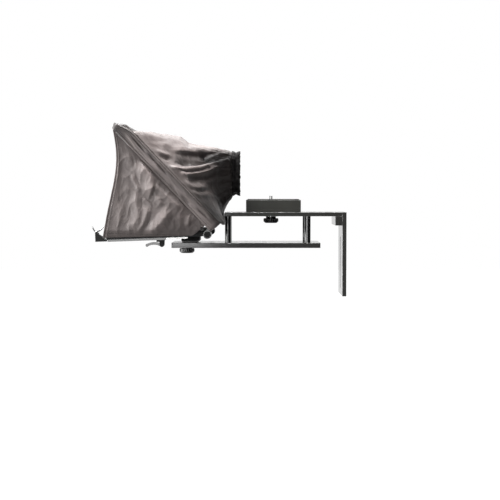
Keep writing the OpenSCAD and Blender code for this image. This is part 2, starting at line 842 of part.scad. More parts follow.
// Front stop: cross bar with a lip and a gusset at each end
module front_stop() {
    color("black") difference() {
        on_tray() {
            translate([stop_front - lip_t, -tray_half, -runner_drop])
                cube([stop_l + lip_t, 2 * tray_half, runner_drop + stop_rise]);
            for (y = [-tray_half, tray_half - lip_tab])
                translate([stop_front - lip_t, y, -runner_drop]) cube([lip_t, lip_tab, runner_drop + lip_h]);
            for (y = [-tray_half + lip_t, tray_half]) translate([stop_front, y, 0]) rotate([90, 0, 0])
                linear_extrude(lip_t)
                    polygon([[-join, stop_rise - join], [stop_l, stop_rise - join], [-join, lip_h]]);
        }
        runner_screw_places() cylinder(r = runner_screw_r + screw_gap, h = runner_screw_l + cut);
        runner_screw_places() translate([0, 0, -lip_t])
            cylinder(r = runner_head_r + screw_gap, h = lip_t + runner_head_h);
    }
}

// Soft pads on the inside of the lip's two ends
module lip_pad() {
    color("black") on_tray() for (y = [-tray_half + 2 * lip_t, tray_half - lip_tab])
        translate([stop_front, y, stop_rise])
            cube([lip_pad_t, lip_tab - 2 * lip_t, lip_h - stop_rise - lip_pad_t / 2]);
}

module slider_runner(side) {
    color("silver") difference() {
        on_tray() translate([stop_rear, side > 0 ? runner_y : -runner_y - runner_w, -runner_drop])
            cube([runner_l, runner_w, runner_t]);
        runner_screw_places() cylinder(r = runner_screw_r + screw_gap, h = runner_screw_l + cut);
    }
}

// Screws that run back through the front stop into the runners
module runner_screw_places() {
    on_tray() for (side = [near, far], y = [runner_w / 4, runner_w * 3 / 4])
        translate([stop_front, side * (runner_y + y), -runner_drop + runner_t / 2])
            rotate([0, 90, 0]) children();
}

module runner_screws() {
    color("silver") runner_screw_places() {
        cylinder(r = runner_screw_r, h = runner_screw_l);
        cylinder(r = runner_head_r, h = runner_head_h);
    }
}

// Bent spring wire that rests on the lip and holds the tablet's edge, t = -1 to 1 along it
function clip_point(t) = [(t < 0 ? clip_front : clip_rear) * t, 0, clip_rise * t * t];
function clip_ring(t) = let (
        d = clip_point(t + 0.01) - clip_point(t - 0.01),
        n = [-d[2], 0, d[0]] / norm(d))
    [for (k = [0 : clip_sides - 1]) clip_point(t)
        + clip_r * (n * cos(360 * k / clip_sides) + [0, sin(360 * k / clip_sides), 0])];
module tablet_clip(side) {
    last = clip_rings * clip_sides;
    walls = [for (i = [0 : clip_rings - 1], k = [0 : clip_sides - 1]) let (m = (k + 1) % clip_sides)
        each quad(i * clip_sides + k, i * clip_sides + m,
            (i + 1) * clip_sides + m, (i + 1) * clip_sides + k)];
    caps = [for (k = [1 : clip_sides - 2]) each [[0, k + 1, k], [last, last + k, last + k + 1]]];
    color("silver") on_tray()
        translate([stop_front - lip_t / 2, side * (tray_half - 2 * lip_t), lip_h + clip_r + knob_gap])
            polyhedron(flat([for (i = [0 : clip_rings]) clip_ring(2 * i / clip_rings - 1)]),
                concat(walls, caps));
}

// Side rail of the mirror frame, grooved for the glass, with its hinge lug
module frame_rail(side) {
    color("black") on_frame() difference() {
        union() {
            translate([frame_high, side > 0 ? rail_y : -frame_half, frame_lift])
                cube([frame_l, rail_w, rail_h]);
            translate([0, side > 0 ? frame_half : -rail_y, 0]) rotate([90, 0, 0]) {
                cylinder(r = hinge_r, h = rail_w);
                translate([-hinge_r, 0, 0]) cube([hinge_r + frame_low, frame_lift + join, rail_w]);
            }
        }
        translate([frame_high - cut, side > 0 ? rail_y - cut : -rail_y - glass_bite - 2 * glass_gap,
            glass_z - glass_gap]) cube([frame_l - rail_w + glass_bite + cut,
                glass_bite + 2 * glass_gap + cut, glass_t + 2 * glass_gap]);
        translate([0, side * (rail_y + rail_w / 2) + rail_w, 0]) rotate([90, 0, 0])
            cylinder(r = hinge_bolt_r + screw_gap, h = 2 * rail_w);
        frame_screw_places(side) {
            translate([0, 0, -rail_w]) cylinder(r = frame_screw_r + screw_gap, h = rail_w + cut);
            translate([0, 0, -frame_head_h - 2 * glass_gap])
                cylinder(r = frame_head_r + glass_gap, h = frame_head_h + cut);
        }
        above_slump(cloth_t + cuff_gap);
    }
}

// Space above the cuff's sloping top end, and above a plane that far below it
module above_slump(depth) {
    translate([cuff_end, -cuff_half - cut, cuff_high - slump_h - depth / cos(slump_angle)])
        rotate([0, -slump_angle, 0]) translate([-slump_h, 0, 0])
            cube([slump_l + 3 * slump_h, 2 * (cuff_half + cut), cuff_w]);
}

// Cross rail of the mirror frame, its low side at x
module cross_rail(x) {
    color("black") on_frame() difference() {
        translate([x, -rail_y, frame_lift]) cube([rail_w, 2 * rail_y, rail_h]);
        translate([glass_x0 - 2 * glass_gap, -rail_y - cut, glass_z - glass_gap])
            cube([glass_x1 - glass_x0 + 4 * glass_gap, 2 * rail_y + 2 * cut, glass_t + 2 * glass_gap]);
        for (side = [near, far]) frame_screw_places(side)
            translate([0, 0, -rail_w - frame_screw_l])
                cylinder(r = frame_screw_r + screw_gap, h = rail_w + frame_screw_l);
        above_slump(cloth_t + cuff_gap);
    }
}

module frame_screw_places(side) {
    for (x = [frame_high + frame_screw_inset, frame_low - frame_screw_inset])
        translate([x, side * frame_half, frame_lift + rail_h - frame_screw_drop])
            rotate([-90 * side, 0, 0]) children();
}

module frame_screws() {
    color("silver") on_frame() for (side = [near, far]) frame_screw_places(side)
        translate([0, 0, -frame_head_h - glass_gap])
            cap_screw(frame_screw_r, frame_screw_l, frame_head_r, frame_head_h);
}

module beam_splitter_glass() {
    color("lightcyan", 0.4) on_frame() translate([glass_x0, -rail_y - glass_bite, glass_z])
        cube([glass_x1 - glass_x0, 2 * (rail_y + glass_bite), glass_t]);
}

// Cloth cuff that wraps the mirror frame's edge, and slopes down over its top end
module hood_cuff() {
    color("dimgray") on_frame() difference() {
        translate([cuff_end, -cuff_half, cuff_low])
            cube([frame_l + 2 * (cuff_gap + cloth_t), 2 * cuff_half, cuff_w]);
        above_slump(0);
        difference() {
            translate([frame_high - cuff_gap, -frame_half - cuff_gap, cuff_low - cut])
                cube([frame_l + 2 * cuff_gap, frame_w + 2 * cuff_gap, cuff_w + 2 * cut]);
            above_slump(cloth_t);
        }
    }
}

// Side panel: a sheet from the frame's underside down to the tray's hook tape.
// s runs from the hinge to the front hem, t from the frame down to the tray.
function panel_edge_top(s) =
    frame_point([mix(panel_top_rear, frame_high + cloth_t, s), 0, cuff_low - slide_gap]);
function panel_edge_low(s) = tray_point([mix(panel_low_rear, panel_low_front, s), 0, tape_lift]);
function panel_wave(s, t) = panel_fold * 4 * t * (1 - t) * s * (1 - 0.6 * s)
    * (1 + cos(360 * (2.6 * s - 0.9 * t)) + 0.5 * cos(360 * (4.5 * s + 1.3 * t) + 60));
function panel_point(s, t, side, skin) = let (
        p = mix(panel_edge_top(s), panel_edge_low(s), t),
        bow = hem_bow * 4 * t * (1 - t) * s * s)
    [p[0] + bow, side * (mix(panel_y_top, panel_y_low, t) + panel_wave(s, t) + skin), p[2]];
function panel_grid(side, skin) = [for (i = [0 : panel_rows - 1])
    [for (j = [0 : panel_cols - 1]) panel_point(j / (panel_cols - 1), i / (panel_rows - 1), side, skin)]];
module hood_panel(side) {
    skin = side * cloth_t / 2;
    color("dimgray") cloth(panel_grid(side, skin), panel_grid(side, -skin), false);
}

// Rear sleeve: rings blend from the frame's oblong to the collar's circle, v = 0 to 1.
// The angle a starts at the top of the ring and turns towards the far side.
function squareness(v) = 2 + 30 * pow(1 - v, corner_fade);
function superellipse(a, n) = 1 / pow(pow(abs(cos(a)), n) + pow(abs(sin(a)), n), 1 / n);
function bump(x) = exp(-pow(x / swag_spread, 2));
// The angle at the frame of the swag line that passes through a point of the sleeve
function swag_line(v, a) = (90 - (a > 180 ? 360 - a : a) - swag_climb * pow(v, 3)) / (1 + pow(v, 3) / 2);
function swag(b) = bump(b - swag_angles[0]) + bump(b - swag_angles[1])
    - hollow_share * bump(b - hollow_angle);
function rise(v) = v < rise_v ? v / rise_v : max(0, (level_v - v) / (level_v - rise_v));
function belly(v, y, lift) = sleeve_belly * sin(180 * pow(v, belly_power)) * pow(max(0, -lift), 2)
    * min(1, max(0, (abs(y) - belly_from) / belly_fade));
function sleeve_point(v, a, skin) = let (
        k = superellipse(a, squareness(v)),
        lift = cos(a) * k,
        wide = sin(a) * k,
        shrink = sin(180 * v) * (sleeve_draw - swag_h * swag(swag_line(v, a))) + skin,
        reach = frame_l / 2 + cuff_gap + cloth_t - shrink - (lift > 0 ? slump_l : 0),
        oblong = frame_point([(frame_high + frame_low) / 2 - lift * reach,
            wide * (cuff_half - shrink), cuff_high + slide_gap]),
        ring = [collar_x, wide * (collar_d / 2 - shrink), collar_z + lift * (collar_d / 2 - shrink)],
        y = mix(oblong[1], ring[1], pow(v, 0.9)),
        sag = belly(v, y, lift))
    [mix(oblong[0], ring[0], pow(v, 1 - 0.2 * cos(a))) + sag * cos(mirror_angle), y,
        mix(oblong[2], ring[2], v) + sleeve_rise * rise(v) * pow(max(0, lift), 3) - sag * sin(mirror_angle)];
function sleeve_grid(skin) = [for (i = [0 : sleeve_rings - 1])
    [for (j = [0 : sleeve_sides - 1]) sleeve_point(i / (sleeve_rings - 1), 360 * j / sleeve_sides, skin)]];
module hood_sleeve() {
    color("dimgray") cloth(sleeve_grid(0), sleeve_grid(cloth_t), true);
}

// Gathered collar at the sleeve's end
function collar_point(v, a, skin) = let (
        r = collar_d / 2 + gather_h * sin(180 * v) * cos(gather_count * a + 90 * v) - skin)
    [collar_x + slide_gap + collar_l * v, r * sin(a), collar_z + r * cos(a)];
function collar_grid(skin) = [for (i = [0 : collar_rings - 1])
    [for (j = [0 : collar_sides - 1]) collar_point(i / (collar_rings - 1), 360 * j / collar_sides, skin)]];
module hood_collar() {
    color("black") cloth(collar_grid(0), collar_grid(cloth_t), true);
}

// Elastic ring inside the collar
module collar_elastic() {
    r = collar_d / 2 - gather_h - cloth_t - elastic_d / 2 - slide_gap;
    color("black") translate([collar_x + slide_gap + collar_l / 2, 0, collar_z]) rotate([0, 90, 0])
        rotate_extrude() translate([r, 0]) circle(d = elastic_d);
}

base_plate();
riser_post(post_front_x, near);  // riser_post_front_near
riser_post(post_front_x, far);  // riser_post_front_far
riser_post(post_rear_x, near);  // riser_post_rear_near
riser_post(post_rear_x, far);  // riser_post_rear_far
post_screws_lower();
post_screws_upper();
camera_plate();
rear_plate();
corner_block();
corner_screws();
riser_block();
riser_pad();
camera_washer();
camera_knob();
camera_stud();
tray_foot();
foot_pad();
foot_screws();
tray_washer();
tray_knob();
tray_stud();
tray_plate();
rear_stop();
grip_strips();
hook_tape(near);  // hook_tape_near
hook_tape(far);  // hook_tape_far
hinge_ear(near);  // hinge_ear_near
hinge_ear(far);  // hinge_ear_far
hinge_ear_screws();
hinge_bolt(near);  // hinge_bolt_near
hinge_bolt(far);  // hinge_bolt_far
hinge_washers();
runner_guide(near);  // runner_guide_near
runner_guide(far);  // runner_guide_far
guide_screws();
clamp_block();
clamp_shoe();
lever_pin();
clamp_lever();
front_stop();
lip_pad();
slider_runner(near);  // slider_runner_near
slider_runner(far);  // slider_runner_far
runner_screws();
tablet_clip(near);  // tablet_clip_near
tablet_clip(far);  // tablet_clip_far
frame_rail(near);  // frame_rail_near
frame_rail(far);  // frame_rail_far
cross_rail(frame_high);  // frame_top_rail
cross_rail(frame_low - rail_w);  // frame_bottom_rail
frame_screws();
beam_splitter_glass();
hood_panel(near);  // hood_panel_near
hood_panel(far);  // hood_panel_far
hood_cuff();
hood_sleeve();
hood_collar();
collar_elastic();
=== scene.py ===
"""Looks of a tablet teleprompter: sewn hood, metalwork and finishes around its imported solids.

Everything is in metres in the rig's frame: +Z is up, +X runs from the reader to the camera operator,
and the near side is at -Y.
"""

import json
import logging
import math
from collections.abc import Iterable, Sequence
from dataclasses import dataclass, field
from enum import Enum

import bmesh
import bpy
import numpy as np
from mathutils import Matrix, Vector, noise

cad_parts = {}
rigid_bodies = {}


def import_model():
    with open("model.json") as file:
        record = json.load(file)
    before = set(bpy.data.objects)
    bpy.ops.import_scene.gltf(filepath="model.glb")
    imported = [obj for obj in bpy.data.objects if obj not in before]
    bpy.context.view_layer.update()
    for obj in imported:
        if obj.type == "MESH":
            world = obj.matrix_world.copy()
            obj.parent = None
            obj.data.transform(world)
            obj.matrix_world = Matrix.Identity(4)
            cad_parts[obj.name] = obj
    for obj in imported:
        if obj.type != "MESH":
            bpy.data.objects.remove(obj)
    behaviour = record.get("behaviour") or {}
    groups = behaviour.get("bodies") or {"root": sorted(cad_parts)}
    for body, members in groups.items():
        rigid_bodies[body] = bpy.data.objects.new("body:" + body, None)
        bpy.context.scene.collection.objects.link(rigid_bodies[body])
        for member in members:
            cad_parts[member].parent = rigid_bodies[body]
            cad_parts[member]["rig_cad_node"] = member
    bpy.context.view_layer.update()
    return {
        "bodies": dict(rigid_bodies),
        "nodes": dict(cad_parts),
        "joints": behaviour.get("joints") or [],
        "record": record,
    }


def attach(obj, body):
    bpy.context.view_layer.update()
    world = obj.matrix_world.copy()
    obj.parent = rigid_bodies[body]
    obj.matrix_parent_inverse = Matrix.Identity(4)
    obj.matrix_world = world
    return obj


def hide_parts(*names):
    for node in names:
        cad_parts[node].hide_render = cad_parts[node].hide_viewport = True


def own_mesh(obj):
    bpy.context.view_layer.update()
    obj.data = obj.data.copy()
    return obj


LOG = logging.getLogger("teleprompter")
MM = 0.001
WELD = 1e-6
TINY = 1e-12
WEAR_LAYER = "edge_wear"
# crest: per point share of the lighter cloth colour; it carries painted highlight on fold crests and
# painted shade in hollows and shaded parts of the hood
CREST_LAYER = "crest"
CLOTH_UV = "cloth"
WHITE = (1.0, 1.0, 1.0, 1.0)

Colour = tuple[float, float, float]
Place = tuple[float, float, float]
Line = tuple[tuple[float, float], ...]
Values = np.ndarray | float


class Side(Enum):
    """The two sides of the rig, as the sign of Y."""

    NEAR = -1
    FAR = 1


class Body(str, Enum):
    """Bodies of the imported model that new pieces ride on."""

    BASE = "base"
    CARRIAGE = "camera_carriage"
    TRAY = "tray"
    STOP = "stop_slider"
    LEVER = "lever"
    MIRROR = "mirror_frame"


class Slot(str, Enum):
    """Material slots of the record."""

    GREY_ANODISED = "grey_anodised"
    BLACK_ANODISED = "black_anodised"
    BLACK_COAT = "black_coat"
    GLOSS_BLACK = "gloss_black"
    KNOB = "knob_plastic"
    BLOCK = "block_plastic"
    GREY_PLASTIC = "grey_plastic"
    STEEL = "steel"
    BLACK_STEEL = "black_steel"
    CHROME = "chrome_wire"
    RUBBER = "rubber"
    HOOK_TAPE = "hook_tape"
    GLASS = "glass"
    HOOD = "hood_cloth"
    COLLAR = "collar_cloth"


@dataclass(frozen=True)
class Rig:
    """Places of the tray and of the mirror frame that the cloth hangs between."""

    stud_x: float = -118 * MM
    tray_z: float = 24 * MM
    droop: float = math.radians(2.0)
    slope: float = math.radians(46.5)
    hinge_x: float = 45 * MM
    hinge_rise: float = 3 * MM
    frame_low: float = -1 * MM
    frame_high: float = -269 * MM
    cuff_low: float = 8.5 * MM
    cuff_high: float = 32.5 * MM
    cuff_half: float = 141.7 * MM
    cuff_end: float = -270.7 * MM
    slump_l: float = 30 * MM
    slump_h: float = 12 * MM
    collar_x: float = -28.132 * MM
    collar_z: float = 146.569 * MM
    collar_r: float = 43 * MM

    def on_tray(self, x: Values, z: Values) -> tuple[Values, Values]:
        """Rig X and Z of places given in the tray's own frame.

        Args:
            x: Distance behind the clamp screw, along the tray.
            z: Height above the tray's underside.

        Returns:
            The X and the Z values in the rig's frame.
        """
        c, s = math.cos(self.droop), math.sin(self.droop)
        return self.stud_x + x * c - z * s, self.tray_z + x * s + z * c

    def on_frame(self, x: Values, z: Values) -> tuple[Values, Values]:
        """Rig X and Z of places given in the mirror frame's own frame.

        Args:
            x: Place along the slope, negative uphill from the hinge axis.
            z: Height square to the glass.

        Returns:
            The X and the Z values in the rig's frame.
        """
        c, s = math.cos(self.slope), math.sin(self.slope)
        pivot_x, pivot_z = self.on_tray(self.hinge_x, self.hinge_rise)
        return pivot_x + x * c + z * s, pivot_z - x * s + z * c

    def cuff_top(self, along: np.ndarray) -> np.ndarray:
        """Height of the cuff's upper edge, which slopes down over the frame's top end."""
        slope = self.cuff_high - self.slump_h + (along - self.cuff_end) * self.slump_h / self.slump_l
        return np.minimum(self.cuff_high, slope)


def mix(a: Values, b: Values, t: Values) -> Values:
    """A value on the way from a to b."""
    return a + (b - a) * t


def ease(low: float, high: float, value: np.ndarray) -> np.ndarray:
    """A smooth step from 0 at low to 1 at high; low may lie above high."""
    t = np.clip((value - low) / (high - low), 0.0, 1.0)
    return t * t * (3 - 2 * t)


def hump(value: np.ndarray, at: float, spread: float) -> np.ndarray:
    """A bell that is 1 at a place and falls off to both sides."""
    return np.exp(-(((value - at) / spread) ** 2))


def noise_at(places: np.ndarray, scale: Place, shift: Place) -> np.ndarray:
    """Soft noise from about -1 to 1.

    Args:
        places: Points, in an array whose last axis has three values.
        scale: How many cells the noise has per unit along each axis.
        shift: Shift of the noise, so that pieces differ.

    Returns:
        The noise at each point.
    """
    moved = Vector(shift)
    flat = places.reshape(-1, 3) * np.array(scale)
    return np.array([noise.noise(Vector(p) + moved) for p in flat]).reshape(places.shape[:-1])


@dataclass(frozen=True)
class Ripples:
    """Soft waves all over a sheet: the noise's cells per unit along each axis, its seed and the height."""

    scale: Place
    seed: float
    height: float

    def lift(self, places: np.ndarray, extra: float = 0.0) -> np.ndarray:
        """Heights of the waves.

        Args:
            places: The points.
            extra: What is added to the seed.

        Returns:
            A value for each point, in the unit of the height.
        """
        seed = self.seed + extra
        return noise_at(places, self.scale, (seed * 0.9, seed, seed * 1.3)) * self.height


@dataclass(frozen=True)
class Creases:
    """Creases with narrow crests all over a sheet, as crumpled nylon has; sharp narrows the crests."""

    scale: Place
    seed: float
    sharp: float
    height: float

    def lift(self, places: np.ndarray, extra: float = 0.0) -> np.ndarray:
        """Heights of the creases.

        Args:
            places: The points.
            extra: What is added to the seed.

        Returns:
            A value for each point, in the unit of the height.
        """
        seed = self.seed + extra
        waves = noise_at(places, self.scale, (seed, seed * 1.7, seed * 0.6))
        return (1 - np.abs(waves)) ** self.sharp * self.height


@dataclass(frozen=True)
class Groove:
    """The hollow along a sewn or gathered line; its place and spread are distances or shares of a sheet."""

    depth: float
    at: float
    spread: float

    def sink(self, distance: np.ndarray) -> np.ndarray:
        """Depths of the hollow at distances or shares from the sheet's edge."""
        return self.depth * hump(distance, self.at, self.spread)


def surface_normals(points: np.ndarray, closed: bool) -> np.ndarray:
    """Unit normals of a grid of points, from its rows and columns.

    Args:
        points: Rows and columns of points.
        closed: True where the first and last columns are the same points.

    Returns:
        One normal for each point.
    """
    if closed:
        ring = np.concatenate([points[:, -2:-1], points, points[:, 1:2]], axis=1)
        across = (ring[:, 2:] - ring[:, :-2]) / 2
    else:
        across = np.gradient(points, axis=1)
    normals = np.cross(np.gradient(points, axis=0), across)
    return normals / np.maximum(np.linalg.norm(normals, axis=-1, keepdims=True), TINY)


def add_object(name: str, shape: bmesh.types.BMesh) -> bpy.types.Object:
    """Turns a finished shape into an object of the scene, at the origin.

    Args:
        name: The piece's name.
        shape: The shape, which is freed.

    Returns:
        The new object.
    """
    mesh = bpy.data.meshes.new(name)
    shape.to_mesh(mesh)
    shape.free()
    piece = bpy.data.objects.new(name, mesh)
    bpy.context.scene.collection.objects.link(piece)
    return piece


class Sketch:
    """Adds and links nodes in one shader tree."""

    def __init__(self, tree: bpy.types.NodeTree) -> None:
        """Keeps the tree that nodes are added to."""
        self.tree = tree

    def add(
        self, kind: str, sockets: dict[str, object] | None = None, **settings: object
    ) -> bpy.types.Node:
        """Adds a node.

        Args:
            kind: The node's type.
            sockets: Values or output sockets for its inputs, by name.
            settings: Values for its own properties.

        Returns:
            The new node.
        """
        node = self.tree.nodes.new(kind)
        for key, value in settings.items():
            setattr(node, key, value)
        for key, value in (sockets or {}).items():
            self.feed(node.inputs[key], value)
        return node

    def feed(self, socket: bpy.types.NodeSocket, value: object) -> None:
        """Links an output socket to an input, or sets the input's own value.

        Args:
            socket: The input.
            value: An output socket, or a value.
        """
        if isinstance(value, bpy.types.NodeSocket):
            self.tree.links.new(value, socket)
        else:
            socket.default_value = value

    def effect(self, group: bpy.types.NodeTree, **values: float) -> bpy.types.Node:
        """Places a shared effect with its own values.

        Args:
            group: The effect's node group.
            values: Values for its inputs, by name.

        Returns:
            The placed node.
        """
        node = self.tree.nodes.new("ShaderNodeGroup")
        node.node_tree = group
        for key, value in values.items():
            node.inputs[key].default_value = value
        return node

    def math(self, operation: str, a: object, b: object) -> bpy.types.NodeSocket:
        """The result of a sum on two values or sockets.

        Args:
            operation: The kind of sum.
            a: The first value or socket.
            b: The second.

        Returns:
            The socket with the result.
        """
        node = self.tree.nodes.new("ShaderNodeMath")
        node.operation = operation
        self.feed(node.inputs[0], a)
        self.feed(node.inputs[1], b)
        return node.outputs[0]

    def span(
        self, value: object, low: float, high: float, start: object, end: object
    ) -> bpy.types.NodeSocket:
        """Maps low..high to start..end, clamped.

        Args:
            value: The value or socket to map.
            low: Where the range starts.
            high: Where the range ends.
            start: The result at low.
            end: The result at high.

        Returns:
            The socket with the result.
        """
        ranges = {"Value": value, "From Min": low, "From Max": high, "To Min": start, "To Max": end}
        return self.add("ShaderNodeMapRange", ranges).outputs["Result"]

    def blend(self, share: object, a: object, b: object) -> bpy.types.NodeSocket:
        """A colour between a and b, which are colours or sockets.

        Args:
            share: How far from a to b.
            a: The first colour.
            b: The second colour.

        Returns:
            The socket with the colour.
        """
        node = self.add("ShaderNodeMix", data_type="RGBA")
        for socket, value in zip((node.inputs[0], node.inputs[6], node.inputs[7]), (share, a, b)):
            self.feed(socket, (*value, 1.0) if isinstance(value, tuple) else value)
        return node.outputs[2]

    def bump(self, height: object, strength: float, depth: float) -> bpy.types.NodeSocket:
        """A normal bent by a height.

        Args:
            height: The socket with the height.
            strength: How much it counts.
            depth: The distance that a height of 1 stands for.

        Returns:
            The socket with the normal.
        """
        node = self.add("ShaderNodeBump", {"Strength": strength, "Distance": depth, "Height": height})
        return node.outputs["Normal"]

    def surface(self, shader: bpy.types.Node, colour: object, rough: object, normal: object = None) -> None:
        """Gives a shader its colour, its roughness and, where there is one, its bent normal.

        Args:
            shader: The shader node.
            colour: The colour's socket.
            rough: The roughness's socket.
            normal: The normal's socket, or nothing.
        """
        self.feed(shader.inputs["Base Color"], colour)
        self.feed(shader.inputs["Roughness"], rough)
        if normal is not None:
            self.feed(shader.inputs["Normal"], normal)


class Effects:
    """The shader node groups that several finishes share."""

    def __init__(self) -> None:
        """Builds each group once."""
        self.grain = self._grain()
        self.wear = self._wear()
        self.dust = self._dust()
        self.weave = self._weave()
        self.tone = self._tone()

    @staticmethod
    def _start(
        name: str, inputs: dict[str, float], outputs: Sequence[str]
    ) -> tuple[bpy.types.NodeTree, Sketch, bpy.types.Node, bpy.types.Node]:
        """Makes an empty group with named sockets.

        Args:
            name: The group's name.
            inputs: Its inputs with their usual values.
            outputs: Its outputs.

        Returns:
            The group, a sketch of it, and its input and output nodes.
        """
        tree = bpy.data.node_groups.new(name, "ShaderNodeTree")
        for label, value in inputs.items():
            socket = tree.interface.new_socket(name=label, in_out="INPUT", socket_type="NodeSocketFloat")
            socket.default_value = value
        for label in outputs:
            tree.interface.new_socket(name=label, in_out="OUTPUT", socket_type="NodeSocketFloat")
        sketch = Sketch(tree)
        return tree, sketch, sketch.add("NodeGroupInput"), sketch.add("NodeGroupOutput")

    def _grain(self) -> bpy.types.NodeTree:
        """Soft mottle between two values, with a finer height for a bump.

        Returns:
            The node group.
        """
        inputs = {"Scale": 400.0, "Low": 0.0, "High": 1.0}
        tree, sketch, given, out = self._start("surface_grain", inputs, ("Value", "Height"))
        place = sketch.add("ShaderNodeTexCoord").outputs["Object"]
        scale = given.outputs["Scale"]
        soft = sketch.add("ShaderNodeTexNoise", {"Vector": place, "Scale": scale, "Detail": 3.0})
        fine_scale = sketch.math("MULTIPLY", scale, 4.0)
        fine = sketch.add("ShaderNodeTexNoise", {"Vector": place, "Scale": fine_scale, "Detail": 2.0})
        value = sketch.span(soft.outputs[0], 0.3, 0.7, given.outputs["Low"], given.outputs["High"])
        sketch.feed(out.inputs["Value"], value)
        sketch.feed(out.inputs["Height"], fine.outputs[0])
        return tree

    def _wear(self) -> bpy.types.NodeTree:
        """Bright rubbed patches along broken edges.

        Returns:
            The node group.
        """
        tree, sketch, given, out = self._start("edge_rub", {"Amount": 0.5}, ("Mask",))
        edge = sketch.add("ShaderNodeAttribute", attribute_name=WEAR_LAYER).outputs["Fac"]
        place = sketch.add("ShaderNodeTexCoord").outputs["Object"]
        patch = sketch.add("ShaderNodeTexNoise", {"Vector": place, "Scale": 160.0, "Detail": 4.0})
        rub = sketch.math("MULTIPLY", edge, sketch.span(patch.outputs[0], 0.42, 0.62, 0.0, 1.0))
        sketch.feed(out.inputs["Mask"], sketch.math("MULTIPLY", rub, given.outputs["Amount"]))
        return tree

    def _dust(self) -> bpy.types.NodeTree:
        """A thin film on faces that look up.

        Returns:
            The node group.
        """
        tree, sketch, given, out = self._start("settled_dust", {"Amount": 0.2}, ("Mask",))
        normal = sketch.add("ShaderNodeNewGeometry").outputs["Normal"]
        up = sketch.add("ShaderNodeSeparateXYZ", {"Vector": normal}).outputs["Z"]
        place = sketch.add("ShaderNodeTexCoord").outputs["Object"]
        patch = sketch.add("ShaderNodeTexNoise", {"Vector": place, "Scale": 28.0, "Detail": 6.0})
        film = sketch.math("MULTIPLY", sketch.span(up, 0.3, 1.0, 0.0, 1.0),
                           sketch.span(patch.outputs[0], 0.35, 0.75, 0.15, 1.0))
        sketch.feed(out.inputs["Mask"], sketch.math("MULTIPLY", film, given.outputs["Amount"]))
        return tree

    def _weave(self) -> bpy.types.NodeTree:
        """Crossing threads along a sheet's own length and width.

        Returns:
            The node group.
        """
        tree, sketch, given, out = self._start("cross_weave", {"Threads": 700.0}, ("Height", "Shade"))
        place = sketch.add("ShaderNodeUVMap", uv_map=CLOTH_UV).outputs["UV"]
        waves = []
        for direction in ("X", "Y"):
            waves.append(sketch.add(
                "ShaderNodeTexWave",
                {"Vector": place, "Scale": given.outputs["Threads"], "Distortion": 0.6, "Detail": 1.0},
                wave_type="BANDS", bands_direction=direction).outputs["Fac"])
        sketch.feed(out.inputs["Height"], sketch.math("MAXIMUM", waves[0], waves[1]))
        sketch.feed(out.inputs["Shade"], sketch.math("MULTIPLY", waves[0], waves[1]))
        return tree

    def _tone(self) -> bpy.types.NodeTree:
        """Share of the lighter cloth colour: painted highlight and shade from the crest, in random clouds.

        Returns:
            The node group.
        """
        tree, sketch, given, out = self._start("cloth_tone", {"Crest": 0.6, "Cloud": 0.4}, ("Share",))
        crest = sketch.add("ShaderNodeAttribute", attribute_name=CREST_LAYER).outputs["Fac"]
        place = sketch.add("ShaderNodeTexCoord").outputs["Object"]
        looks = {"Vector": place, "Scale": 17.0, "Detail": 5.0, "Roughness": 0.6}
        cloud = sketch.add("ShaderNodeTexNoise", looks).outputs[0]
        paler_share = sketch.math("MULTIPLY", sketch.span(cloud, 0.3, 0.7, 0.0, 1.0), given.outputs["Cloud"])
        most = sketch.math("ADD", given.outputs["Crest"], paler_share)
        sketch.feed(out.inputs["Share"], sketch.math("MULTIPLY", crest, most))
        return tree


def start_material(
    slot: Slot, constants: dict[str, object]
) -> tuple[bpy.types.Material, Sketch, bpy.types.Node]:
    """Starts a material with one Principled shader.

    Args:
        slot: The record's slot, which names the material.
        constants: Values that are the same all over, by socket.

    Returns:
        The material, a sketch of its nodes and the shader node.
    """
    material = bpy.data.materials.new(f"{slot.value}_finish")
    material.use_nodes = True
    material.node_tree.nodes.clear()
    sketch = Sketch(material.node_tree)
    shader = sketch.add("ShaderNodeBsdfPrincipled", constants)
    sketch.add("ShaderNodeOutputMaterial", {"Surface": shader.outputs["BSDF"]})
    return material, sketch, shader


def scaled(colour: Colour, factor: float, offset: float = 0.0) -> Colour:
    """A colour made lighter or darker."""
    return tuple(offset + factor * c for c in colour)


@dataclass(frozen=True)
class Ageing:
    """Rubbed edges and settled dust over a finish's own colour."""

    pale: Colour
    rub: float
    dust: Colour
    film: float

    def over(self, colour: object, sketch: Sketch, effects: Effects) -> bpy.types.NodeSocket:
        """Lays the rubbed edges and the dust over a colour.

        Args:
            colour: The colour, or the socket that puts it out.
            sketch: The material's nodes.
            effects: The shared effects.

        Returns:
            The socket with the aged colour.
        """
        rub = sketch.effect(effects.wear, Amount=self.rub)
        dust = sketch.effect(effects.dust, Amount=self.film)
        rubbed = sketch.blend(rub.outputs["Mask"], colour, self.pale)
        return sketch.blend(dust.outputs["Mask"], rubbed, self.dust)


@dataclass(frozen=True)
class Anodised:
    """Dyed, anodised aluminium with a satin bead blast and rubbed edges."""

    slot: Slot
    dye: Colour
    pale: Colour
    smooth: float = 0.10
    rough: float = 0.17
    mottle: float = 1.18
    dust: Colour = (0.42, 0.41, 0.39)

    def material(self, effects: Effects) -> bpy.types.Material:
        """Builds the finish from the shared effects.

        Args:
            effects: The shared effects.

        Returns:
            The material.
        """
        material, sketch, shader = start_material(self.slot, {"Metallic": 0.0})
        grain = sketch.effect(effects.grain, Scale=900.0, Low=self.smooth, High=self.rough)
        cloud = sketch.effect(effects.grain, Scale=14.0, Low=0.0, High=1.0)
        base_tone = sketch.blend(cloud.outputs["Value"], self.dye, scaled(self.dye, self.mottle))
        aged = Ageing(self.pale, 0.55, self.dust, 0.10).over(base_tone, sketch, effects)
        bent = sketch.bump(grain.outputs["Height"], 0.03, 0.00006)
        sketch.surface(shader, aged, grain.outputs["Value"], bent)
        return material


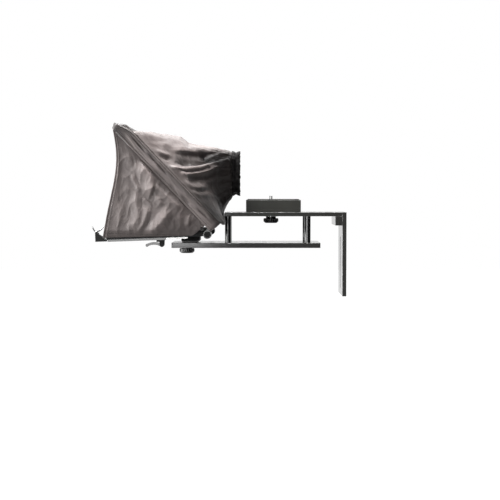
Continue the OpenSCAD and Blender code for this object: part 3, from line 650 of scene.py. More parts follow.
@dataclass(frozen=True)
class Lacquered:
    """Deep black lacquer with faint handling marks under a clear coat."""

    slot: Slot
    colour: Colour
    ageing: Ageing = Ageing((0.16, 0.16, 0.16), 0.35, (0.3, 0.29, 0.28), 0.12)

    def material(self, effects: Effects) -> bpy.types.Material:
        """Builds the finish from the shared effects.

        Args:
            effects: The shared effects.

        Returns:
            The material.
        """
        constants = {"Specular IOR Level": 0.5, "Coat Weight": 0.6, "Coat Roughness": 0.06}
        material, sketch, shader = start_material(self.slot, constants)
        haze = sketch.effect(effects.grain, Scale=60.0, Low=0.10, High=0.22)
        aged = self.ageing.over(self.colour, sketch, effects)
        bent = sketch.bump(haze.outputs["Height"], 0.03, 0.0001)
        sketch.surface(shader, aged, haze.outputs["Value"], bent)
        return material


@dataclass(frozen=True)
class Moulded:
    """Moulded plastic or rubber with a fine spark texture."""

    slot: Slot
    colour: Colour
    smooth: float
    rough: float
    texture: float
    depth: float
    shine: float = 0.45
    mottle: float = 1.3
    dust: Colour = (0.4, 0.39, 0.37)

    def material(self, effects: Effects) -> bpy.types.Material:
        """Builds the finish from the shared effects.

        Args:
            effects: The shared effects.

        Returns:
            The material.
        """
        material, sketch, shader = start_material(self.slot, {"Specular IOR Level": self.shine})
        skin = sketch.effect(effects.grain, Scale=self.texture, Low=self.smooth, High=self.rough)
        cloud = sketch.effect(effects.grain, Scale=22.0, Low=0.0, High=1.0)
        mottled = sketch.blend(cloud.outputs["Value"], self.colour, scaled(self.colour, self.mottle))
        aged = Ageing(scaled(self.colour, 1.6, 0.08), 0.3, self.dust, 0.12).over(mottled, sketch, effects)
        bent = sketch.bump(skin.outputs["Height"], 0.35, self.depth)
        sketch.surface(shader, aged, skin.outputs["Value"], bent)
        return material


@dataclass(frozen=True)
class Plated:
    """Plated steel, from dull zinc to bright chrome."""

    slot: Slot
    colour: Colour
    smooth: float
    rough: float
    stain: float = 0.78

    def material(self, effects: Effects) -> bpy.types.Material:
        """Builds the finish from the shared effects.

        Args:
            effects: The shared effects.

        Returns:
            The material.
        """
        material, sketch, shader = start_material(self.slot, {"Metallic": 1.0})
        haze = sketch.effect(effects.grain, Scale=350.0, Low=self.smooth, High=self.rough)
        cloud = sketch.effect(effects.grain, Scale=70.0, Low=0.0, High=1.0)
        stained = sketch.blend(cloud.outputs["Value"], self.colour, scaled(self.colour, self.stain))
        bent = sketch.bump(haze.outputs["Height"], 0.08, 0.00006)
        sketch.surface(shader, stained, haze.outputs["Value"], bent)
        return material


@dataclass(frozen=True)
class HalfMirror:
    """Beam splitter glass: clear, with a strong front reflection and a little film."""

    slot: Slot
    tint: Colour
    film: float = 0.94

    def material(self, effects: Effects) -> bpy.types.Material:
        """Builds the finish from the shared effects.

        Args:
            effects: The shared effects.

        Returns:
            The material.
        """
        coat = {"Coat Weight": 0.5, "Coat Roughness": 0.01, "Coat IOR": 2.0}
        constants = {"Transmission Weight": 0.92, "IOR": 1.75, **coat}
        material, sketch, shader = start_material(self.slot, constants)
        smear = sketch.effect(effects.grain, Scale=9.0, Low=0.0, High=0.035)
        cloud = sketch.effect(effects.grain, Scale=6.0, Low=0.0, High=1.0)
        tinted = sketch.blend(cloud.outputs["Value"], self.tint, scaled(self.tint, self.film))
        sketch.surface(shader, tinted, smear.outputs["Value"])
        return material


@dataclass(frozen=True)
class SatinCloth:
    """Close woven nylon with a satin face."""

    slot: Slot
    shade: Colour
    light: Colour
    sheen: Colour
    smooth: float = 0.44
    rough: float = 0.58
    gloss: float = 0.6
    thread_light: float = 0.12

    def material(self, effects: Effects) -> bpy.types.Material:
        """Builds the finish from the shared effects.

        Args:
            effects: The shared effects.

        Returns:
            The material.
        """
        sheen = {"Sheen Weight": 0.12, "Sheen Roughness": 0.3, "Sheen Tint": (*self.sheen, 1.0)}
        material, sketch, shader = start_material(self.slot, {"Specular IOR Level": self.gloss, **sheen})
        weave = sketch.effect(effects.weave, Threads=620.0)
        tone = sketch.effect(effects.tone, Crest=0.70, Cloud=0.40)
        skin = sketch.effect(effects.grain, Scale=60.0, Low=self.smooth, High=self.rough)
        # The tone's share carries the painted highlight on fold crests and the painted shade in hollows and
        # shaded parts.
        base_tone = sketch.blend(tone.outputs["Share"], self.shade, self.light)
        thread = sketch.math("MULTIPLY", weave.outputs["Shade"], self.thread_light)
        woven = sketch.blend(thread, base_tone, self.light)
        bent = sketch.bump(weave.outputs["Height"], 0.25, 0.00012)
        sketch.surface(shader, woven, skin.outputs["Value"], bent)
        return material


class FinishBook:
    """Every finish of the rig, built once and given out by slot."""

    FINISHES = (
        Anodised(Slot.GREY_ANODISED, (0.030, 0.029, 0.028), (0.45, 0.45, 0.45)),
        Anodised(Slot.BLACK_ANODISED, (0.031, 0.031, 0.029), (0.30, 0.30, 0.30)),
        Moulded(Slot.BLACK_COAT, (0.009, 0.009, 0.009), 0.46, 0.60, 1300.0, 0.00010, shine=0.2),
        Lacquered(Slot.GLOSS_BLACK, (0.010, 0.010, 0.010)),
        Moulded(Slot.KNOB, (0.008, 0.008, 0.008), 0.08, 0.16, 900.0, 0.00003, shine=0.3),
        Moulded(Slot.BLOCK, (0.021, 0.021, 0.017), 0.42, 0.58, 700.0, 0.00012),
        Moulded(Slot.GREY_PLASTIC, (0.16, 0.16, 0.155), 0.38, 0.52, 800.0, 0.00010),
        Plated(Slot.STEEL, (0.60, 0.60, 0.59), 0.22, 0.36),
        Plated(Slot.BLACK_STEEL, (0.013, 0.013, 0.013), 0.24, 0.36),
        Plated(Slot.CHROME, (0.80, 0.80, 0.80), 0.05, 0.14),
        Moulded(Slot.RUBBER, (0.014, 0.014, 0.014), 0.68, 0.86, 1100.0, 0.00025),
        Moulded(Slot.HOOK_TAPE, (0.013, 0.013, 0.014), 0.8, 0.95, 1500.0, 0.0008),
        HalfMirror(Slot.GLASS, (0.86, 0.90, 0.90)),
        SatinCloth(Slot.HOOD, (0.022, 0.0165, 0.015), (0.176, 0.146, 0.139), (0.62, 0.57, 0.55)),
        SatinCloth(
            Slot.COLLAR, (0.006, 0.005, 0.005), (0.016, 0.014, 0.014), (0.1, 0.1, 0.1), 0.55, 0.70, 0.2
        ),
    )

    def __init__(self) -> None:
        """Builds the shared effects and each material."""
        effects = Effects()
        self._materials = {finish.slot: finish.material(effects) for finish in self.FINISHES}

    def dress(self, piece: bpy.types.Object, slot: Slot) -> None:
        """Gives a piece one finish all over.

        Args:
            piece: The object to dress.
            slot: The record's slot whose finish it takes.
        """
        piece.data.materials.clear()
        piece.data.materials.append(self._materials[slot])


@dataclass(frozen=True)
class Fold:
    """A crest in the cloth, or a hollow where its height is negative, along a line seen from the side.

    The line's points are (X, Z) and all sizes are in millimetres. The fold falls off in flat slopes; left
    and right are their widths beside the line, as seen in its direction.
    """

    line: Line
    height: float
    left: float
    right: float
    fade: float = 0.3
    round_crest: float = 0.2
    round_foot: float = 0.15

    def lift(self, x: np.ndarray, z: np.ndarray) -> np.ndarray:
        """Height of the fold at places seen from the side.

        Args:
            x: Rig X of the places.
            z: Rig Z of the places.

        Returns:
            Heights in metres.
        """
        line = np.array(self.line) * MM
        for _ in range(2):
            quarters = [mix(line[:-1], line[1:], share) for share in (0.25, 0.75)]
            line = np.concatenate([line[:1], np.stack(quarters, axis=1).reshape(-1, 2), line[-1:]])
        steps = np.linalg.norm(np.diff(line, axis=0), axis=1)
        starts = np.concatenate([[0.0], np.cumsum(steps)])
        nearest = np.full(x.shape, np.inf)
        along = np.zeros(x.shape)
        turn = np.zeros(x.shape)
        for i, step in enumerate(steps):
            (ax, az), (dx, dz) = line[i], line[i + 1] - line[i]
            t = np.clip(((x - ax) * dx + (z - az) * dz) / max(step * step, TINY), 0, 1)
            off_x, off_z = x - ax - t * dx, z - az - t * dz
            gap = np.hypot(off_x, off_z)
            closer = gap < nearest
            nearest = np.where(closer, gap, nearest)
            along = np.where(closer, (starts[i] + t * step) / starts[-1], along)
            turn = np.where(closer, dx * off_z - dz * off_x, turn)
        reach = nearest / (np.where(turn > 0, self.left, self.right) * MM)
        slope = 1 + self.round_crest - np.hypot(reach, self.round_crest)
        ends = ease(0.0, self.fade, along) * ease(1.0, 1.0 - self.fade, along)
        return self.height * MM * ends * (slope + np.hypot(slope, self.round_foot)) / 2


@dataclass
class SewnSheet:
    """A sewn piece of the hood: a grid of points over its own length and width.

    The crest is the share of the lighter cloth colour at each point: painted highlight on fold crests and
    painted shade in hollows, and some sheets also carry painted shade and painted light in given places.
    In each kind of sheet, wear is that share on flat cloth, and a set height of fold adds 1 to it. On the
    far side the folds lie far_shift closer to the reader.
    """

    rig: Rig
    name: str
    columns: int
    rows: int
    closed: bool = False
    thickness: float = 0.9 * MM
    points: np.ndarray = field(default=None, repr=False)
    crest: np.ndarray = field(default=None, repr=False)

    def lay_out(self) -> None:
        """Works out the points and the height of the folds; each kind of sheet has its own way."""
        raise NotImplementedError

    def shares(self) -> tuple[np.ndarray, np.ndarray]:
        """Shares of the way across and down the sheet, as two grids."""
        return np.meshgrid(np.linspace(0, 1, self.columns + 1), np.linspace(0, 1, self.rows + 1))

    def lengths(self) -> tuple[np.ndarray, np.ndarray]:
        """Distances along the sheet's columns and rows, in metres, for its own coordinates.

        Returns:
            The distance of each column, and of each row.
        """
        across = np.linalg.norm(np.diff(self.points, axis=1), axis=-1).mean(axis=0)
        down = np.linalg.norm(np.diff(self.points, axis=0), axis=-1).mean(axis=1)
        return np.concatenate([[0.0], np.cumsum(across)]), np.concatenate([[0.0], np.cumsum(down)])

    def build(self) -> bpy.types.Object:
        """Makes the sheet's mesh, with its own coordinates and its thickness.

        Returns:
            The sheet as an object.
        """
        self.lay_out()
        shape = bmesh.new()
        bmesh.ops.create_grid(shape, x_segments=self.columns, y_segments=self.rows, size=0.5)
        uv = shape.loops.layers.uv.new(CLOTH_UV)
        crest = shape.verts.layers.float.new(CREST_LAYER)
        across, down = self.lengths()
        places = {}
        for vert in shape.verts:
            places[vert] = round((vert.co.y + 0.5) * self.rows), round((vert.co.x + 0.5) * self.columns)
        for face in shape.faces:
            for loop in face.loops:
                row, column = places[loop.vert]
                loop[uv].uv = (across[column], down[row])
        for vert, (row, column) in places.items():
            vert.co = self.points[row, column]
            vert[crest] = self.crest[row, column]
        if self.closed:
            rim = [v for v, (row, column) in places.items() if column in (0, self.columns)]
            bmesh.ops.remove_doubles(shape, verts=rim, dist=WELD)
        for face in shape.faces:
            face.smooth = True
        shape.normal_update()
        if self.faces_inward(shape):
            bmesh.ops.reverse_faces(shape, faces=shape.faces)
        sheet = add_object(self.name, shape)
        wall = sheet.modifiers.new("cloth_thickness", "SOLIDIFY")
        wall.thickness = self.thickness
        wall.offset = -1.0
        return sheet

    def faces_inward(self, shape: bmesh.types.BMesh) -> bool:
        """True where most faces look towards the hood's inside.

        Args:
            shape: The sheet's shape, with its normals.

        Returns:
            Whether the faces need turning.
        """
        middle = Vector(self.points.reshape(-1, 3).mean(axis=0))
        middle.y = 0.0
        votes = 0.0
        for face in shape.faces:
            votes += face.normal.dot(face.calc_center_median() - middle) * face.calc_area()
        return votes < 0


@dataclass
class SidePanel(SewnSheet):
    """Cloth between the mirror frame and the tray, on one side."""

    side: Side = Side.NEAR
    top_rear: float = -26 * MM
    top_front: float = -267.6 * MM
    low_rear: float = 16 * MM
    low_front: float = -154 * MM
    foot_rear: float = 2 * MM
    foot_front: float = 4 * MM
    seam_gap: float = 0.3 * MM
    top_y: float = 140 * MM
    low_y: float = 135.3 * MM
    hem_bow: float = 11 * MM
    rear_bow: float = 7 * MM
    bulge: float = 7 * MM
    hem: float = 9 * MM
    hem_step: float = 0.8 * MM
    hem_skew: float = 3.2 * MM
    hem_tuck: float = 5.5 * MM
    hem_low: float = 13 * MM
    front_groove: Groove = Groove(1.3 * MM, 4.5 * MM, 2.6 * MM)
    foot_groove: Groove = Groove(0.4 * MM, 7 * MM, 1.2 * MM)
    sewn: float = 0.06
    dip_low: float = 0.8 * MM
    dip_high: float = 4 * MM
    # Painted light on the panel: fold crests painted lighter and hollows darker, a painted highlight along
    # the front hem and a painted shade over the foot's hem.
    wear: float = 0.51
    fold_shading_lift: float = 14 * MM
    hem_highlight: float = 0.15
    foot_shade: float = 0.85
    far_shift: float = 5 * MM
    far_seed: float = 8.0
    textures: tuple[Creases | Ripples, ...] = (
        Creases((42, 24, 1), 3.0, 5.0, 0.9 * MM),
        Creases((95, 60, 1), 3.0, 6.0, 0.4 * MM),
        Ripples((30, 14, 1), 3.0, 0.7 * MM),
    )
    folds: tuple[Fold, ...] = (
        Fold(((-218, 148), (-212, 132), (-205, 119), (-200, 108)), 2.6, 6, 4),
        Fold(((-205, 174), (-190, 151), (-179, 137), (-175, 123), (-180, 108), (-188, 94)), 6.0, 5, 22),
        Fold(((-176, 127), (-160, 111), (-143, 96), (-120, 77)), 2.4, 4, 10, 0.2),
        Fold(
            ((-206, 122), (-205, 102), (-207, 86), (-204, 72), (-207, 56), (-214, 43), (-228, 29)),
            3.0, 8, 11,
        ),
        Fold(((-182, 88), (-187, 72), (-190, 58), (-198, 43), (-213, 26)), 3.0, 7, 10),
        Fold(((-135, 81), (-147, 71), (-154, 60), (-164, 47), (-179, 34), (-200, 21)), 4.8, 11, 13, 0.35),
        Fold(((-108, 68), (-108, 55), (-110, 41)), 2.2, 4, 7, 0.4),
        Fold(((-168, 104), (-163, 92), (-155, 83)), 1.7, 4, 7, 0.4),
        Fold(((-200, 104), (-186, 91), (-173, 80)), 1.4, 3, 5, 0.4),
        Fold(((-236, 196), (-234, 150), (-236, 105), (-245, 60)), -1.2, 10, 8),
        Fold(((-224, 188), (-218, 168), (-214, 150)), 1.2, 5, 9, 0.4),
        Fold(((-232, 96), (-236, 70), (-246, 40)), 1.3, 6, 10, 0.4),
        Fold(((-130, 70), (-122, 54), (-124, 38)), 1.3, 6, 9, 0.4),
    )

    def creased(self, x: np.ndarray, z: np.ndarray, t: np.ndarray) -> np.ndarray:
        """Heights of the folds and creases, which fade out at the sewn edges.

        Args:
            x: Rig X of the points.
            z: Rig Z of the points.
            t: Shares of the way down to the tray.

        Returns:
            Heights in metres.
        """
        shift, extra = (0.0, 0.0) if self.side is Side.NEAR else (self.far_shift, self.far_seed)
        places = np.stack([x, z, np.full(x.shape, float(self.side.value))], axis=-1)
        lift = sum(fold.lift(x + shift, z) for fold in self.folds)
        lift = lift + sum(texture.lift(places, extra) for texture in self.textures)
        lift = lift * ease(0.0, self.sewn, t) * ease(1.0, 1.0 - self.sewn, t)
        return np.maximum(lift, -self.dip_low - self.dip_high * ease(0.85, 0.6, t))

    def lay_out(self) -> None:
        """Works out the panel's points: s runs from the hinge to the front hem, t down to the tray."""
        s, t = self.shares()
        seam_z = self.rig.cuff_low - self.seam_gap
        foot_z = mix(self.foot_rear, self.foot_front, s)
        top_x, top_z = self.rig.on_frame(mix(self.top_rear, self.top_front, s), seam_z)
        low_x, low_z = self.rig.on_tray(mix(self.low_rear, self.low_front, s), foot_z)
        arch = 4 * t * (1 - t)
        skew = self.hem_skew * np.sin(2 * np.pi * t)
        x = mix(top_x, low_x, t) + (arch * self.hem_bow + skew) * s**2 + arch * self.rear_bow * (1 - s) ** 6
        z = mix(top_z, low_z, t)
        lift = self.creased(x, z, t)
        front = (1 - s) * mix(abs(self.top_front - self.top_rear), abs(self.low_front - self.low_rear), t)
        foot = (1 - t) * np.hypot(low_x - top_x, low_z - top_z)
        belly = self.bulge * arch * ease(0.0, 0.35, s) * ease(0.9, 0.35, s)
        doubled = self.hem_step * ease(self.hem, self.hem - 1.5 * MM, front)
        tuck = self.hem_tuck * np.clip(foot / self.hem_low, 0, 1) * t
        out = belly + lift + doubled + tuck - self.front_groove.sink(front) - self.foot_groove.sink(foot)
        y = self.side.value * (mix(self.top_y, self.low_y, t) + out)
        self.points = np.stack([x, y, z], axis=-1)
        # Painted highlight on fold crests and along the front hem, painted shade in hollows and over the
        # foot's hem.
        lighter_mark = self.wear + lift / self.fold_shading_lift + self.hem_highlight * ease(self.hem, self.hem - 2 * MM, front)
        above_foot = ease(self.hem_low, self.hem_low + 5 * MM, foot)
        self.crest = np.clip(lighter_mark, 0, 1) * mix(self.foot_shade, 1.0, above_foot)


@dataclass
class FrameCuff(SewnSheet):
    """Cloth band that wraps the mirror frame's edge, with a sewn line along each side."""

    corner_r: float = 5 * MM
    turn_in: float = 7 * MM
    turn_r: float = 0.7 * MM
    lap: float = 0.3 * MM
    overlap: float = 3 * MM
    slack: float = 1.7 * MM
    hinge_turn: float = 0.8 * MM
    knots: tuple[float, ...] = (0.0, 0.18, 0.22, 0.78, 0.82, 1.0)
    turned: float = 0.8
    width: float = 24 * MM
    slant: float = 16 * MM
    seams: tuple[Groove, Groove] = (Groove(0.3 * MM, 0.30, 0.018), Groove(0.3 * MM, 0.70, 0.018))
    puff: float = 4 * MM
    hinge_puff: float = 0.3
    dip: float = 0.2 * MM
    tip_puff: float = 4.5 * MM
    tip_at: float = -256 * MM
    tip_spread: float = 8 * MM
    tip_crease: float = 1.2
    # Painted light on the cuff: fold crests painted lighter and hollows darker, a painted shade towards its
    # upper edge and over the frame's top tip.
    wear: float = 0.80
    fold_shading_lift: float = 6 * MM
    upper_edge_shade: float = 0.4
    far_shift: float = 5 * MM
    creases: Creases = Creases((20, 20, 150), 5.0, 4.0, 1.0 * MM)
    softness: Ripples = Ripples((24, 24, 60), 8.0, 0.4)
    folds: tuple[Fold, ...] = (
        Fold(((-236, 222), (-221, 205), (-208, 190)), -2.2, 2.5, 3, 0.4),
        Fold(((-224, 224), (-206, 204), (-186, 182)), -2.6, 2, 3, 0.4),
        Fold(((-212, 192), (-196, 176), (-180, 158)), -2.4, 2, 3, 0.4),
        Fold(((-187, 187), (-176, 174), (-165, 161)), -2.6, 3, 3, 0.4),
        Fold(((-176, 174), (-158, 154), (-140, 135)), -2.8, 2, 3, 0.4),
        Fold(((-174, 154), (-161, 139), (-151, 127)), -2.2, 2.5, 3, 0.4),
        Fold(((-143, 126), (-135, 112), (-127, 98)), -4.5, 2.5, 3.5, 0.35),
        Fold(((-123, 107), (-112, 94), (-103, 83)), -3.0, 2.5, 3.5, 0.4),
        Fold(((-119, 87), (-104, 72), (-91, 59)), -2.2, 2.5, 3, 0.4),
        Fold(((-96, 83), (-82, 70), (-67, 57)), -2.8, 2.5, 3, 0.4),
    )

    def outline(self, share: np.ndarray) -> tuple[np.ndarray, np.ndarray, np.ndarray, np.ndarray]:
        """The band's path round the frame, a rounded oblong.

        Args:
            share: Shares of the way round.

        Returns:
            Places along and across the frame, and the outward direction there.
        """
        half_l = (self.rig.frame_low - self.rig.frame_high) / 2 + self.slack - self.corner_r
        half_w = self.rig.cuff_half - self.corner_r
        arc = self.corner_r * math.pi / 2
        runs = np.array([2 * half_w, arc, 2 * half_l, arc] * 2)
        ends = np.cumsum(runs)
        distance = (share % 1.0) * ends[-1]
        index = np.searchsorted(ends, distance, side="right").clip(0, len(runs) - 1)
        rest = distance - (ends - runs)[index]
        quarter, turning = index // 2, index % 2 == 1
        facing = np.pi * (1 + quarter / 2) + np.where(turning, rest / self.corner_r, 0.0)
        out_x, out_y = np.cos(facing), np.sin(facing)
        left = np.where(turning, 0.0, runs[index] - rest)
        bends = [(-half_l, -half_w), (half_l, -half_w), (half_l, half_w), (-half_l, half_w)]
        turns = np.array(bends)[quarter]
        middle = (self.rig.frame_low + self.rig.frame_high) / 2
        along = middle + turns[..., 0] + out_y * left + out_x * self.corner_r
        across = turns[..., 1] - out_x * left + out_y * self.corner_r
        return along, across, out_x, out_y

    def lay_out(self) -> None:
        """Works out the band's points: u runs round the frame, w over the band from its inner turn."""
        u, w = self.shares()
        along, across, out_x, out_y = self.outline(u)
        top_end = ease(-0.2, -0.9, out_x)
        free = ease(-6 * MM, -30 * MM, along)
        inner = mix(self.turn_in, self.rig.slump_l + self.overlap, top_end)
        under = -mix(self.hinge_turn, self.turn_in, free)
        flat = np.zeros(u.shape)
        low, high, edge = flat + self.rig.cuff_low, self.rig.cuff_top(along), self.turn_r
        reach = self.between(w, (under, np.maximum(under, -edge), flat, flat, flat - edge, -inner))
        height = self.between(w, (low + self.lap, low, low + edge, high - edge, high, high + self.lap))
        wall = np.clip((w - self.knots[2]) / (self.knots[3] - self.knots[2]), 0, 1)
        places = np.stack([along, across, wall * self.width], axis=-1)
        slanted = places + np.stack([wall * self.slant, wall * self.slant, flat], axis=-1)
        creases = self.creases.lift(slanted)
        side_x, side_z = self.rig.on_frame(along + out_x * reach, height)
        shift = np.where(across < 0, 0.0, self.far_shift)
        wrinkles = sum(fold.lift(side_x + shift, side_z) for fold in self.folds) * np.abs(out_y)
        puff = self.puff * ease(0.0, 0.9, wall) * ease(1.0, 0.93, wall)
        lift = puff * (1 + self.softness.lift(places)) + np.sin(np.pi * wall) * creases + wrinkles
        lift = np.maximum(lift, -self.dip) * mix(self.hinge_puff, 1.0, free)
        lift = lift - sum(seam.sink(w) for seam in self.seams)
        length = along + out_x * (reach + lift)
        tip = self.tip_puff * hump(length, self.tip_at, self.tip_spread)
        tip = tip + ease(-238 * MM, -252 * MM, length) * self.tip_crease * creases
        roof = self.rig.cuff_top(length)
        roofed = mix(np.minimum(height, roof), roof, top_end)
        height = np.where(w > self.turned, roofed, height) + ease(0.76, 0.84, w) * tip
        x, z = self.rig.on_frame(length, height)
        self.points = np.stack([x, across + out_y * (reach + lift), z], axis=-1)
        self.points[:, -1] = self.points[:, 0]
        # Painted highlight on crests and painted shade in hollows, towards the upper edge and over the
        # frame's top tip.
        lighter_mark = np.clip(self.wear + (lift - puff) / self.fold_shading_lift, 0, 1)
        lighter_mark = lighter_mark * mix(self.upper_edge_shade, 1.0, ease(0.9, 0.4, wall))
        self.crest = lighter_mark * ease(-262 * MM, -225 * MM, along)

    def between(self, w: np.ndarray, values: Sequence[np.ndarray]) -> np.ndarray:
        """A value over the band, straight between its knots.

        Args:
            w: Shares of the way over the band.
            values: Grids of the value at the knots.

        Returns:
            The value at each point of the band.
        """
        result = values[0].copy()
        for start, end, first, second in zip(self.knots, self.knots[1:], values, values[1:]):
            share = np.clip((w - start) / (end - start), 0, 1)
            result = np.where(w >= start, mix(first, second, share), result)
        return result


@dataclass
class LensSleeve(SewnSheet):
    """Cloth that narrows from the frame's oblong to the ring round the lens."""

    draw: float = 3.5 * MM
    swag: float = 6 * MM
    swag_angles: tuple[float, float] = (4.0, -17.0)
    swag_spread: float = 8.0
    swag_climb: float = 38.0
    hollow_angle: float = 30.0
    hollow_share: float = 0.8
    rise: float = 9 * MM
    rise_at: float = 0.36
    level_at: float = 0.45
    # The sleeve's top is painted paler between these heights: a painted highlight of the light from above.
    top_light_from: float = 184 * MM
    top_light_to: float = 194 * MM
    belly: float = 11 * MM
    belly_from: float = 64 * MM
    belly_fade: float = 18 * MM
    belly_power: float = 0.4
    seam_gap: float = 0.3 * MM
    corner_power: float = 30.0
    lean: float = 0.2
    narrowing: float = 0.9
    # fade is the largest share of that painted top light; fold crests are painted lighter and hollows
    # darker.
    fade: float = 0.68
    wear: float = 0.44
    fold_shading_lift: float = 9 * MM
    far_shift: float = 6 * MM
    pleats: Creases = Creases((5, 5, 2), 17.0, 3.0, 2.0 * MM)
    textures: tuple[Creases | Ripples, ...] = (
        Creases((26, 22, 26), 21.0, 4.0, 1.5 * MM),
        Ripples((20, 16, 20), 9.0, 1.4 * MM),
        Creases((70, 40, 60), 31.0, 6.0, 0.7 * MM),
    )
    folds: tuple[Fold, ...] = (
        Fold(((-168, 168), (-141, 152), (-112, 154), (-85, 158), (-60, 166), (-34, 178)), 2.6, 4, 4),
        Fold(((-172, 164), (-153, 149), (-132, 147), (-115, 148)), 4.5, 13, 5, 0.35),
        Fold(((-156, 156), (-135, 151), (-112, 151), (-88, 155), (-66, 162)), 2.6, 4, 5),
        Fold(((-158, 148), (-132, 141), (-105, 142), (-80, 148), (-58, 158), (-32, 173)), 6.0, 6, 10),
        Fold(((-132, 134), (-100, 135), (-75, 141), (-50, 153), (-28, 165)), -4.0, 9, 30),
        Fold(((-150, 190), (-125, 187), (-100, 186), (-60, 184), (-26, 183)), 5.0, 14, 5, 0.2),
        Fold(((-140, 168), (-115, 163), (-85, 166), (-60, 172)), -7.0, 19, 5),
        Fold(((-100, 166), (-62, 170), (-30, 180)), -5.5, 14, 4),
        Fold(((-170, 181), (-156, 173), (-138, 167)), -3.2, 5, 4, 0.4),
        Fold(((-178, 192), (-160, 182), (-136, 177)), 2.4, 6, 4, 0.4),
        Fold(((-129, 186), (-123, 172), (-117, 159)), 0.9, 3, 4, 0.4),
        Fold(((-128, 140), (-114, 124), (-97, 117), (-70, 121)), 5.0, 8, 5),
        Fold(((-112, 116), (-92, 103), (-64, 107)), 3.0, 7, 5),
        Fold(((-190, 214), (-166, 206), (-146, 204)), -1.8, 6, 5, 0.4),
        Fold(((-150, 212), (-128, 205), (-112, 199)), 1.8, 5, 5, 0.4),
    )

    def swags(self, a: np.ndarray, v: np.ndarray) -> np.ndarray:
        """Shares of the swags' height, for angles round the sleeve and shares of its length.

        Args:
            a: Angles from the top.
            v: Shares of the way to the collar.

        Returns:
            Positive on a swag and negative in the hollow under the top.
        """
        side = 90 - np.degrees(np.minimum(a, 2 * np.pi - a))
        line = (side - self.swag_climb * v**3) / (1 + v**3 / 2)
        crests = sum(hump(line, angle, self.swag_spread) for angle in self.swag_angles)
        return crests - self.hollow_share * hump(line, self.hollow_angle, self.swag_spread)

    def hung(
        self, a: np.ndarray, v: np.ndarray, lift: np.ndarray, wide: np.ndarray
    ) -> tuple[np.ndarray, np.ndarray, np.ndarray]:
        """Places of the sleeve before its belly and its folds.

        Args:
            a: Angles from the top.
            v: Shares of the way to the collar.
            lift: Places up and down the section, from -1 to 1.
            wide: Places across the section, from -1 to 1.

        Returns:
            Rig X, Y and Z of the points.
        """
        rig = self.rig
        shrink = np.sin(np.pi * v) * (self.draw - self.swag * self.swags(a, v))
        middle = (rig.frame_low + rig.frame_high) / 2
        reach = middle - rig.cuff_end - shrink - np.where(lift > 0, rig.slump_l, 0.0)
        edge_x, edge_z = rig.on_frame(middle - lift * reach, rig.cuff_high + self.seam_gap)
        falling = (self.level_at - v) / (self.level_at - self.rise_at)
        climb = np.maximum(np.where(v < self.rise_at, v / self.rise_at, falling), 0)
        ring = rig.collar_r - shrink
        x = mix(edge_x, rig.collar_x, v ** (1 - self.lean * np.cos(a)))
        y = mix(wide * (rig.cuff_half - shrink), wide * ring, v**self.narrowing)
        z = mix(edge_z, rig.collar_z + lift * ring, v) + self.rise * climb * np.maximum(lift, 0) ** 3
        return x, y, z

    def lay_out(self) -> None:
        """Works out the sleeve's points: v runs from the frame to the collar, a round from the top."""
        u, v = self.shares()
        a = 2 * np.pi * u
        power = 2 + self.corner_power * (1 - v) ** 10
        radius = (np.abs(np.cos(a)) ** power + np.abs(np.sin(a)) ** power) ** (-1 / power)
        lift, wide = np.cos(a) * radius, np.sin(a) * radius
        x, y, z = self.hung(a, v, lift, wide)
        beyond = np.clip((np.abs(y) - self.belly_from) / self.belly_fade, 0, 1)
        sag = self.belly * np.sin(np.pi * v**self.belly_power) * np.maximum(-lift, 0) ** 2 * beyond
        slope = self.rig.slope
        base = np.stack([x + sag * math.cos(slope), y, z - sag * math.sin(slope)], axis=-1)
        normals = surface_normals(base, True)
        centre = base.mean(axis=1, keepdims=True)
        normals = normals * np.sign(np.sum(normals * (base - centre), axis=-1).mean())
        shift = np.where(y < 0, 0.0, self.far_shift)
        beside = ease(0.1, 0.4, np.abs(normals[..., 1]))
        heights = sum(fold.lift(x + shift, z) for fold in self.folds) * beside
        turning = np.stack([np.cos(a), np.sin(a), v * 0.5], axis=-1)
        heights = heights + self.pleats.lift(turning) * ease(0.3, 0.95, v)
        heights = heights + sum(texture.lift(base) for texture in self.textures)
        heights = heights * ease(0.0, 0.08, v) * ease(1.0, 0.95, v)
        self.points = base + normals * heights[..., None]
        self.points[:, -1] = self.points[:, 0]
        # Painted light: the top painted paler, fold crests lighter and hollows darker, and a painted shade
        # over the lower half and towards the collar.
        paler_share = self.fade * ease(self.top_light_from, self.top_light_to, z) * ease(1.0, 0.85, v)
        lighter_mark = np.clip(self.wear + heights / self.fold_shading_lift, 0, 1) * ease(0.9, 0.2, v)
        self.crest = np.maximum(lighter_mark * ease(-0.7, 0.2, lift), paler_share)


@dataclass
class LensCollar(SewnSheet):
    """Gathered end of the sleeve, drawn in by its elastic."""

    length: float = 16 * MM
    gap: float = 0.3 * MM
    gathers: int = 14
    depth: float = 2.2 * MM
    drawn: Groove = Groove(1.9 * MM, 0.5, 0.2)
    end_wave: float = 0.5 * MM
    # The ruffles' crests are painted lighter and their gathers darker.
    wear: float = 0.3
    fold_shading_lift: float = 6 * MM

    def lay_out(self) -> None:
        """Works out the collar's points: v runs towards the camera, a round from the top."""
        u, v = self.shares()
        a = 2 * np.pi * u
        ruffle = np.cos(self.gathers * a + 1.1 * np.sin(3 * a) + 1.6 * v)
        ruffle = ruffle + 0.45 * np.cos((2 * self.gathers - 5) * a + 2.0 + 2.4 * v)
        swing = self.depth * (0.3 + 1.1 * np.abs(v - 0.5))
        lift = swing * ruffle - self.drawn.sink(v)
        radius = self.rig.collar_r + lift
        x = self.rig.collar_x + self.gap + self.length * v + self.end_wave * ruffle * ease(0.6, 1.0, v)
        self.points = np.stack([x, radius * np.sin(a), self.rig.collar_z + radius * np.cos(a)], axis=-1)
        self.points[:, -1] = self.points[:, 0]
        # Painted highlight on the ruffles' crests and painted shade in the gathers.
        self.crest = np.clip(self.wear + lift / self.fold_shading_lift, 0, 1)


